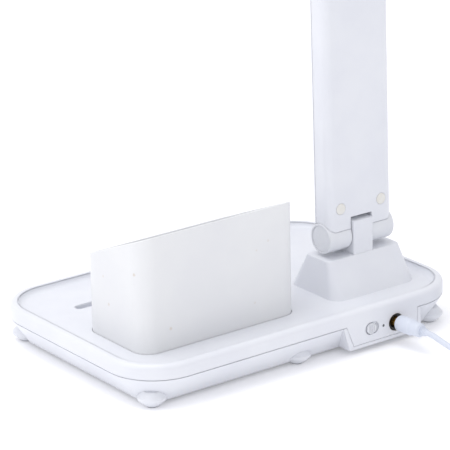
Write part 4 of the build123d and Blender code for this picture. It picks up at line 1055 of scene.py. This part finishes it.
@dataclass
class BarrelPlug:
    """The moulded plug: grip, collar and a ribbed relief. Sizes are in millimetres.

    Args:
        end: where the relief ends and the lead leaves.
        tilt: how far the plug points up, in degrees.
        clearance: how much shorter than its CAD box the plug is.
        grip: radius and length of the grip.
        collar: radius and length of the collar.
        ribs: number of ribs of the relief.
        rib_radius: radius of the first rib.
        rib_taper: how much smaller each further rib is.
        groove_radius: radius between the ribs.
        exit_radius: radius where the lead leaves.
    """

    end: Point
    tilt: float = 2.5
    clearance: float = 0.5
    grip: tuple[float, float] = (4.35, 10.7)
    collar: tuple[float, float] = (3.8, 6.4)
    ribs: int = 4
    rib_radius: float = 2.5
    rib_taper: float = 0.18
    groove_radius: float = 1.75
    exit_radius: float = 1.6

    def profile(self, length: float) -> list[tuple[float, float]]:
        """Lists the outline of the plug.

        Args:
            length: its whole length.

        Returns:
            Distance from its mouth and radius, in millimetres.
        """
        grip, mould = self.grip
        neck, collar = self.collar
        relief = mould + collar
        # The rounded mouth, the grip, the step down to the collar and the collar's rounded end.
        outline = [
            (0.0, grip - 0.65),
            (0.25, grip - 0.3),
            (0.7, grip),
            (mould - 0.9, grip),
            (mould - 0.3, grip - 0.25),
            (mould, neck + 0.1),
            (mould + 0.1, neck),
            (relief - 0.8, neck - 0.1),
            (relief - 0.2, neck - 0.5),
            (relief, neck - 1.1),
        ]
        rib = (length - relief) / self.ribs
        for number in range(self.ribs):
            base = relief + number * rib
            radius = self.rib_radius - self.rib_taper * number
            outline.append((base + 0.15 * rib, radius))
            outline.append((base + 0.55 * rib, radius))
            outline.append((base + 0.70 * rib, self.groove_radius))
            outline.append((base + 0.95 * rib, self.groove_radius))
        outline.append((length, self.exit_radius))
        return outline

    def build(self) -> Object:
        """Builds the plug.

        Returns:
            The piece.
        """
        tilt = math.radians(self.tilt)
        way = Vector((0.0, -math.cos(tilt), math.sin(tilt)))
        low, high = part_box("plug_body")
        length = (high.y - low.y) / math.cos(tilt) - self.clearance * MM
        outline = [(along * MM, radius * MM) for along, radius in self.profile(length / MM)]
        work = bmesh.new()
        lathe(work, outline, Vector(self.end) - way * length, way, segments=48)
        plug = new_piece("plug_moulding", work, Palette.VINYL, Body.BASE, ("plug_body",))
        return plug


@dataclass
class ChargingPlug:
    """The plug at the far end: grip, ribbed relief and a hollow metal mouth. Sizes in millimetres.

    Args:
        axis_height: height of the lead's axis.
        relief: length of the relief.
        ribs: number of its ribs.
        rib_radius: radius of its first rib.
        rib_growth: how much wider each further rib is.
        rib_steps: where a rib starts, where it falls and where the next groove starts.
        groove_radius: radius between the ribs.
        lift: how far the grip's underside stays above its CAD box.
        wall: thickness of the mouth's sheet.
        tongue: height of the filled part at the bottom of the mouth.
        floor_depth: length of the closed part at the mouth's root.
        window: half the side of each window in the mouth.
        window_place: where the windows sit, across and along the mouth.
    """

    axis_height: float
    relief: float = 7.0
    ribs: int = 4
    rib_radius: float = 2.0
    rib_growth: float = 0.2
    rib_steps: tuple[float, float, float] = (0.3, 1.1, 1.3)
    groove_radius: float = 1.7
    lift: float = 0.02
    wall: float = 0.35
    tongue: float = 1.8
    floor_depth: float = 1.0
    window: float = 1.1
    window_place: tuple[float, float] = (2.9, 6.2)

    def grip(self) -> Object:
        """Builds the grip with its relief.

        Returns:
            The piece.
        """
        low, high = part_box("usb_plug_body")
        root = Vector(((low.x + high.x) / 2.0, low.y, self.axis_height * MM))
        work = bmesh.new()
        start = (low.x, low.y + self.relief * MM, low.z + self.lift * MM)
        rounded_block(work, start, tuple(high), corner=1.5 * MM, edge=0.8 * MM)
        outline = []
        rise, fall, groove = self.rib_steps
        for number in range(self.ribs):
            base = number * self.relief / self.ribs
            radius = self.rib_radius + self.rib_growth * number
            outline += [(base, self.groove_radius), (base + rise, radius)]
            outline += [(base + fall, radius), (base + groove, self.groove_radius)]
        outline.append((self.relief + 0.5, self.groove_radius))
        outline = [(along * MM, radius * MM) for along, radius in outline]
        lathe(work, outline, root, Vector((0.0, 1.0, 0.0)), segments=32)
        grip = new_piece("charging_plug_grip", work, Palette.VINYL, Body.BASE, ("usb_plug_body",))
        return grip

    def mouth(self) -> Object:
        """Builds the metal mouth with its two windows.

        Returns:
            The piece.
        """
        low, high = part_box("usb_plug_shell")
        wall, window = self.wall * MM, self.window * MM
        work = bmesh.new()
        rounded_block(work, tuple(low), tuple(high), corner=0.5 * MM, edge=0.1 * MM, segments=3)
        mouth = new_piece("charging_plug_mouth", work, Palette.NICKEL, Body.BASE, ("usb_plug_shell",))
        bottom = (low.x + wall, low.y + self.floor_depth * MM, low.z + self.tongue * MM)
        open_end = high.y + 2.0 * MM
        cut_block(mouth, bottom, (high.x - wall, open_end, high.z - wall))
        across, along = self.window_place
        for side in (-1.0, 1.0):
            x = (low.x + high.x) / 2.0 + side * across * MM
            y = low.y + along * MM
            bottom = (x - window, y - window, high.z - 2.0 * wall)
            cut_block(mouth, bottom, (x + window, y + window, high.z + wall))
        return mouth


@dataclass
class Lead:
    """The charging lead: free part and wound coil, with the plugs at its ends.

    Args:
        radius: radius of the lead.
        length: its length from relief to relief; not used.
        start: where the lead leaves the relief of the plug.
        run: points that the lead follows on its way down and along the table.
        coil_centre: centre of the coil on the table.
        turn_radii: radii of the coil's turns, from the outer one in.
        inward: part of a lower lap, in degrees, in which it moves a turn inwards.
        climb: part of the inmost lap in which it rises to the upper layer.
        outward: part of an upper lap in which it moves a turn outwards.
        last_lap: share of the last lap that is wound.
        tail: length of the straight end that leads to the charging plug.
        points_per_turn: control points in each turn.
    """

    radius: float = 1.55 * MM
    length: float = 0.937
    start: Point = (0.0573, -0.0949705, 0.0126522)
    run: tuple[Point, ...] = (
        (0.0573, -0.0994662, 0.0128485),
        (0.0573, -0.1076, 0.0111),
        (0.0593, -0.1205, 0.0078),
        (0.0675, -0.1335, 0.0042),
        (0.0800, -0.1381, 0.00155),
        (0.0900, -0.1381, 0.00155),
    )
    coil_centre: tuple[float, float] = (0.1030, -0.11485)
    turn_radii: tuple[float, ...] = (0.02325, 0.02015, 0.01705, 0.01395)
    inward: tuple[float, float] = (300.0, 360.0)
    climb: tuple[float, float] = (240.0, 300.0)
    outward: tuple[float, float] = (190.0, 240.0)
    last_lap: float = 0.25
    tail: float = 0.0130
    points_per_turn: int = 24

    def turn(self, lap: int, inside: float) -> tuple[float, float]:
        """Finds the radius and height of one place of the coil.

        Args:
            lap: number of the lap.
            inside: degrees gone in that lap.

        Returns:
            Radius from the coil's centre and height of the lead's axis.
        """
        inmost = len(self.turn_radii) - 1
        pitch = self.turn_radii[0] - self.turn_radii[1]
        low, high = self.radius, 3.0 * self.radius
        if lap < inmost:
            return self.turn_radii[lap] - pitch * ease(inside, *self.inward), low
        if lap == inmost:
            return self.turn_radii[-1], low + (high - low) * ease(inside, *self.climb)
        steps = lap - inmost - 1 + ease(inside, *self.outward)
        return self.turn_radii[-1] + pitch * steps, high

    def coil_points(self) -> list[Point]:
        """Lays the turns: the lower layer winds inwards, the upper one back out.

        Returns:
            Control points of the coil, from where the lead joins it to where its tail leaves.
        """
        step_degrees = 360.0 / self.points_per_turn
        # A control point lies this much further out than the round turn that the line follows.
        bulge = 1.0 / (0.75 + 0.25 * math.cos(math.radians(step_degrees)))
        laps = 2 * (len(self.turn_radii) - 1) + 1 + self.last_lap
        points = []
        for number in range(int(round(laps * self.points_per_turn)) + 1):
            lap, inside = divmod(number, self.points_per_turn)
            radius, height = self.turn(lap, inside * step_degrees)
            angle = math.radians(number * step_degrees - 90.0)
            reach = radius if number == 0 else bulge * radius
            x = self.coil_centre[0] + reach * math.cos(angle)
            y = self.coil_centre[1] + reach * math.sin(angle)
            points.append((x, y, height))
        return points

    def line(self) -> Object:
        """Builds the lead as one smooth line that stands for its CAD solids.

        Returns:
            The curve object.
        """
        points = [self.start, *self.run, *self.coil_points()]
        side, level = self.coil_centre[0] + self.turn_radii[0], points[-1][2]
        points.pop()
        for share in (0.0, 0.5, 1.0):
            points.append((side, self.coil_centre[1] + share * self.tail, level))
        data = bpy.data.curves.new("lead_sleeve", "CURVE")
        data.dimensions = "3D"
        spline = data.splines.new("NURBS")
        spline.points.add(len(points) - 1)
        for target, place in zip(spline.points, points):
            target.co = (*place, 1.0)
        spline.order_u = 3
        spline.use_endpoint_u = True
        spline.resolution_u = 5
        data.bevel_depth = self.radius
        data.bevel_resolution = 5
        data.use_fill_caps = True
        data.materials.append(Palette.VINYL.material())
        lead = add_object("lead_sleeve", data)
        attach(lead, Body.BASE.value)
        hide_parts("lead", "lead_coil")
        LOG.info("lead_sleeve: %d control points", len(points))
        return lead

    def build(self) -> None:
        lead = self.line()
        far_plug = ChargingPlug(3.0 * self.radius / MM)
        pieces = [BarrelPlug(self.start).build(), far_plug.grip(), far_plug.mouth()]
        pieces += [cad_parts[name] for name in ("coil_tie", "plug_barrel")]


# ---- fasteners -----------------------------------------------------------------------------


SCREW_RULES = {
    "crown": ("MULTIPLY", "Head Height", 0.35),
    "flank": ("SUBTRACT", "Head Height", "crown"),
    "flank centre": ("MULTIPLY", "flank", -0.5),
    "top": ("MULTIPLY", "Head Height", -1.0),
    "top radius": ("MULTIPLY", "Head Radius", 0.78),
    "bar length": ("MULTIPLY", "Head Radius", 1.15),
    "bar height": ("MULTIPLY", "Recess Depth", 2.0),
    "core radius": ("MULTIPLY", "Shank Radius", 0.86),
    "shank centre": ("MULTIPLY", "Shank Length", 0.5),
    "ridge height": ("MULTIPLY", "Thread Pitch", 0.5),
    "turns": ("DIVIDE", "Shank Length", "Thread Pitch"),
    "turns before the tip": ("SUBTRACT", "turns", 0.6),
    "ridge count": ("FLOOR", "turns before the tip", 0.0),
}


@dataclass
class ScrewKind:
    """A group of equal pan-head screws with cross recesses. Sizes are in millimetres.

    Args:
        node: the CAD node with the group.
        body: the body that carries it.
        way: the axis of its screws, either way round.
        head: radius and height of the head.
        shank: radius and length of the shank.
        pitch: spacing of the thread's ridges.
        lead_in: length of plain shank before the first ridge.
        recess: width and depth of the recess, as shares of the head's radius and height.
        end_reach: points this near to an end belong to it.
        head_sides: faces round the head.
        shank_sides: faces round the shank.
    """

    node: str
    body: Body
    way: Vector
    head: tuple[float, float]
    shank: tuple[float, float]
    pitch: float = 0.8
    lead_in: float = 0.3
    recess: tuple[float, float] = (0.32, 0.55)
    end_reach: float = 0.1
    head_sides: int = 28
    shank_sides: int = 20

    def recipe(self) -> NodeRecipe:
        """Builds the tree of one screw.

        Returns:
            The finished tree.
        """
        sizes = {
            "Head Radius": self.head[0] * MM,
            "Head Height": self.head[1] * MM,
            "Shank Radius": self.shank[0] * MM,
            "Shank Length": self.shank[1] * MM,
            "Recess Width": self.recess[0] * self.head[0] * MM,
            "Recess Depth": self.recess[1] * self.head[1] * MM,
            "Thread Pitch": self.pitch * MM,
            "Turn": 2.0 * math.pi,
            "Seed": 7,
        }
        recipe = NodeRecipe(f"{self.node}_tree", sizes, {"Plating": Palette.ZINC})
        recipe.work_out(SCREW_RULES)
        parts = [self.pan(recipe), *self.thread(recipe)]
        recipe.close(recipe.add("GeometryNodeJoinGeometry", {0: parts}), "Plating")
        return recipe

    def pan(self, recipe: NodeRecipe) -> Node:
        """Shapes the head: a short drum and a cone, with a cross cut into them.

        Args:
            recipe: the tree that gets the head.

        Returns:
            The head's node.
        """
        at, sides = recipe.at, self.head_sides
        values = {"Vertices": sides, "Radius": at["Head Radius"], "Depth": at["flank"]}
        drum = recipe.moved(recipe.add("GeometryNodeMeshCylinder", values), "flank centre")
        values = {"Radius Top": at["Head Radius"], "Radius Bottom": at["top radius"], "Depth": at["crown"]}
        dome = recipe.moved(recipe.add("GeometryNodeMeshCone", {"Vertices": sides} | values), "top")
        values = {"operation": "UNION", "Mesh 2": [drum, dome]}
        whole = recipe.add("GeometryNodeMeshBoolean", values)
        bar = recipe.block("bar length", "Recess Width", "bar height")
        cross = [recipe.moved(bar, "top", turn) for turn in (0.0, 0.5 * math.pi)]
        values = {"operation": "DIFFERENCE", 0: whole, "Mesh 2": cross}
        return recipe.add("GeometryNodeMeshBoolean", values)

    def thread(self, recipe: NodeRecipe) -> list[Node]:
        """Shapes the shank: a core and ridges at the pitch of a thread.

        Args:
            recipe: the tree that gets the shank.

        Returns:
            The nodes of the core and of the ridges.
        """
        at, sides = recipe.at, self.shank_sides
        values = {"Vertices": sides, "Radius": at["core radius"], "Depth": at["Shank Length"]}
        core = recipe.moved(recipe.add("GeometryNodeMeshCylinder", values), "shank centre")
        values = {"Vertices": sides, "Radius Top": at["core radius"], "Depth": at["ridge height"]}
        ridge = recipe.add("GeometryNodeMeshCone", values | {"Radius Bottom": at["Shank Radius"]})
        step = recipe.add("ShaderNodeCombineXYZ", {"Z": at["Thread Pitch"]})
        values = {"mode": "OFFSET", "Count": at["ridge count"], "Offset": step}
        values = {"Points": recipe.add("GeometryNodeMeshLine", values), "Instance": ridge}
        ridges = recipe.add("GeometryNodeInstanceOnPoints", values)
        return [core, recipe.moved(ridges, self.lead_in * MM)]

    def places(self) -> Places:
        """Finds where the head of each screw of the CAD node meets its shank.

        Returns:
            The seat of each screw and the way that it points.
        """
        found = []
        height = self.head[1] * MM
        # The head is at the wider end.
        for places in islands(self.node):
            along = [place.dot(self.way) for place in places]
            middle = middle_of(places)
            axis_point = middle - self.way * middle.dot(self.way)
            ends = min(along), max(along)
            widths = [
                max(
                    (place - self.way * level - axis_point).length
                    for place, level in zip(places, along)
                    if abs(level - end) < self.end_reach * MM
                )
                for end in ends
            ]
            if widths[0] > widths[1]:
                found.append((axis_point + self.way * (ends[0] + height), self.way.copy()))
            else:
                found.append((axis_point + self.way * (ends[1] - height), -self.way))
        return found

    def build(self) -> None:
        """Builds the group as one piece."""
        name = f"{self.node}_cross_recess"
        piece = self.recipe().grow(name, self.places(), self.body, (self.node,))


SCREW_KINDS = (
    ScrewKind("base_screws", Body.BASE, UPRIGHT, (2.6, 2.0), (1.5, 9.8)),
    ScrewKind("board_screws", Body.BASE, UPRIGHT, (2.5, 1.6), (1.25, 5.2)),
    ScrewKind("arm_screws", Body.ARM, ARM_ACROSS, (2.5, 2.0), (1.5, 6.8)),
    ScrewKind("fork_screws", Body.ARM, ARM_ACROSS, (2.4, 2.2), (1.5, 8.0)),
    ScrewKind("head_screws", Body.HEAD, HEAD_UP, (2.5, 1.1), (1.5, 7.5)),
)


# ---- light source and electronics ----------------------------------------------------------


LED_RULES = {
    "gel width": ("MULTIPLY", "Side", "Gel Share"),
    "well radius": ("MULTIPLY", "gel width", 0.5),
    "gel radius": ("MULTIPLY", "well radius", 0.98),
    "middle": ("MULTIPLY", "Height", 0.5),
    "gel height": ("MULTIPLY", "Height", 0.42),
    "gel level": ("MULTIPLY", "Height", 0.27),
}


@dataclass
class LightSource:
    """The rows of LEDs on their strip.

    Args:
        side: side of one LED.
        height: its height.
        gel_share: width of its cushion of phosphor, as a share of its side.
        skew: how far the placing machine may turn it, in radians.
        gel_sides: faces round the cushion.
    """

    side: float = 3.0 * MM
    height: float = 0.6 * MM
    gel_share: float = 0.74
    skew: float = 0.03
    gel_sides: int = 20

    def build(self) -> None:
        """Builds each LED as a white cup with a cushion of phosphor."""
        sizes = {"Side": self.side, "Height": self.height, "Gel Share": self.gel_share}
        sizes |= {"Turn": self.skew, "Seed": 3}
        finishes = {"Cup": Palette.REFLECTOR, "Gel": Palette.PHOSPHOR}
        recipe = NodeRecipe("led_tree", sizes, finishes)
        recipe.work_out(LED_RULES)
        rounds = []
        drums = ("well radius", "middle", "middle"), ("gel radius", "gel height", "gel level")
        for radius, depth, level in drums:
            values = {"Radius": recipe.at[radius], "Depth": recipe.at[depth], "Vertices": self.gel_sides}
            rounds.append(recipe.moved(recipe.add("GeometryNodeMeshCylinder", values), level))
        well, gel = rounds
        block = recipe.block("Side", "Side", "Height")
        values = {"operation": "DIFFERENCE", 0: block, "Mesh 2": well}
        parts = []
        for label, part in (("Cup", recipe.add("GeometryNodeMeshBoolean", values)), ("Gel", gel)):
            values = {"Geometry": part, "Material": recipe.at[label]}
            parts.append(recipe.add("GeometryNodeSetMaterial", values))
        recipe.close(recipe.add("GeometryNodeJoinGeometry", {0: parts}), None)
        points = [(middle_of(places), -HEAD_UP) for places in islands("leds")]
        piece = recipe.grow("led_packages", points, Body.HEAD, ("leds",))


@dataclass
class BoardParts:
    """Chips, coil and connectors on the control board. Sizes are in millimetres.

    Args:
        flat: a part no higher than this is a chip with legs.
        slim: a higher part no deeper than this is a connector.
        leg_inset: how far a chip's body stands back for its legs.
        leg_line: how far in the legs' middles are.
        leg_pitch: spacing of a chip's legs.
        leg_width: width of one leg.
        leg_length: length of one leg.
        leg_rise: height of a leg above the board.
    """

    flat: float = 2.0
    slim: float = 4.8
    leg_inset: float = 0.35
    leg_line: float = 0.36
    leg_pitch: float = 1.27
    leg_width: float = 0.45
    leg_length: float = 0.7
    leg_rise: float = 0.2

    def build(self) -> None:
        """Rebuilds each block of the CAD node as the part it stands for."""
        chips, natural = bmesh.new(), bmesh.new()
        legs: Places = []
        for places in islands("board_parts"):
            low = Vector([min(place[axis] for place in places) for axis in range(3)])
            high = Vector([max(place[axis] for place in places) for axis in range(3)])
            body, size = (tuple(low), tuple(high)), high - low
            if size.z <= self.flat * MM:
                inset = Vector((self.leg_inset * MM, self.leg_inset * MM, 0.0))
                body = tuple(low + inset), tuple(high - inset)
                rounded_block(chips, *body, corner=0.15 * MM, edge=0.12 * MM, axis=2, segments=2)
                legs += self.leg_points(low, high)
            elif size.y < self.slim * MM:
                rounded_block(natural, *body, corner=0.3 * MM, edge=0.15 * MM, axis=2, segments=2)
            else:
                rounded_block(chips, *body, corner=1.2 * MM, edge=0.5 * MM, axis=2, segments=4)
        dark = new_piece("board_chips", chips, Palette.NYLON, Body.BASE, ("board_parts",))
        housings = new_piece("board_connectors", natural, Palette.NATURAL, Body.BASE)
        sizes = {"Width": self.leg_width * MM, "Length": self.leg_length * MM, "Turn": 0.0, "Seed": 5}
        recipe = NodeRecipe("leg_tree", sizes, {"Plating": Palette.ZINC})
        recipe.work_out({"thickness": ("MULTIPLY", "Width", 0.5)})
        recipe.close(recipe.block("Width", "thickness", "Length", rows=3), "Plating")
        recipe.grow("board_chip_legs", legs, Body.BASE)

    def leg_points(self, low: Vector, high: Vector) -> Places:
        """Spreads the legs of a chip along its two long sides.

        Args:
            low: lowest corner of the chip.
            high: its highest corner.

        Returns:
            The middle of each leg and the way that it runs.
        """
        found = []
        pitch, inset = self.leg_pitch * MM, self.leg_line * MM
        count = max(2, int((high.x - low.x) // pitch))
        start = (low.x + high.x) / 2.0 - (count - 1) * pitch / 2.0
        for number in range(count):
            for y, way in ((low.y + inset, -1.0), (high.y - inset, 1.0)):
                place = Vector((start + number * pitch, y, low.z + self.leg_rise * MM))
                found.append((place, Vector((0.0, way, 0.0))))
        return found


def main() -> None:
    """Builds the scene in order and reports each piece."""
    logging.basicConfig(level=logging.INFO, format="%(message)s")
    Studio().build()
    Lead().build()
    dress_cad_nodes()
    for kind in SCREW_KINDS:
        kind.build()
    LightSource().build()
    BoardParts().build()


if __name__ == "__main__":
    main()
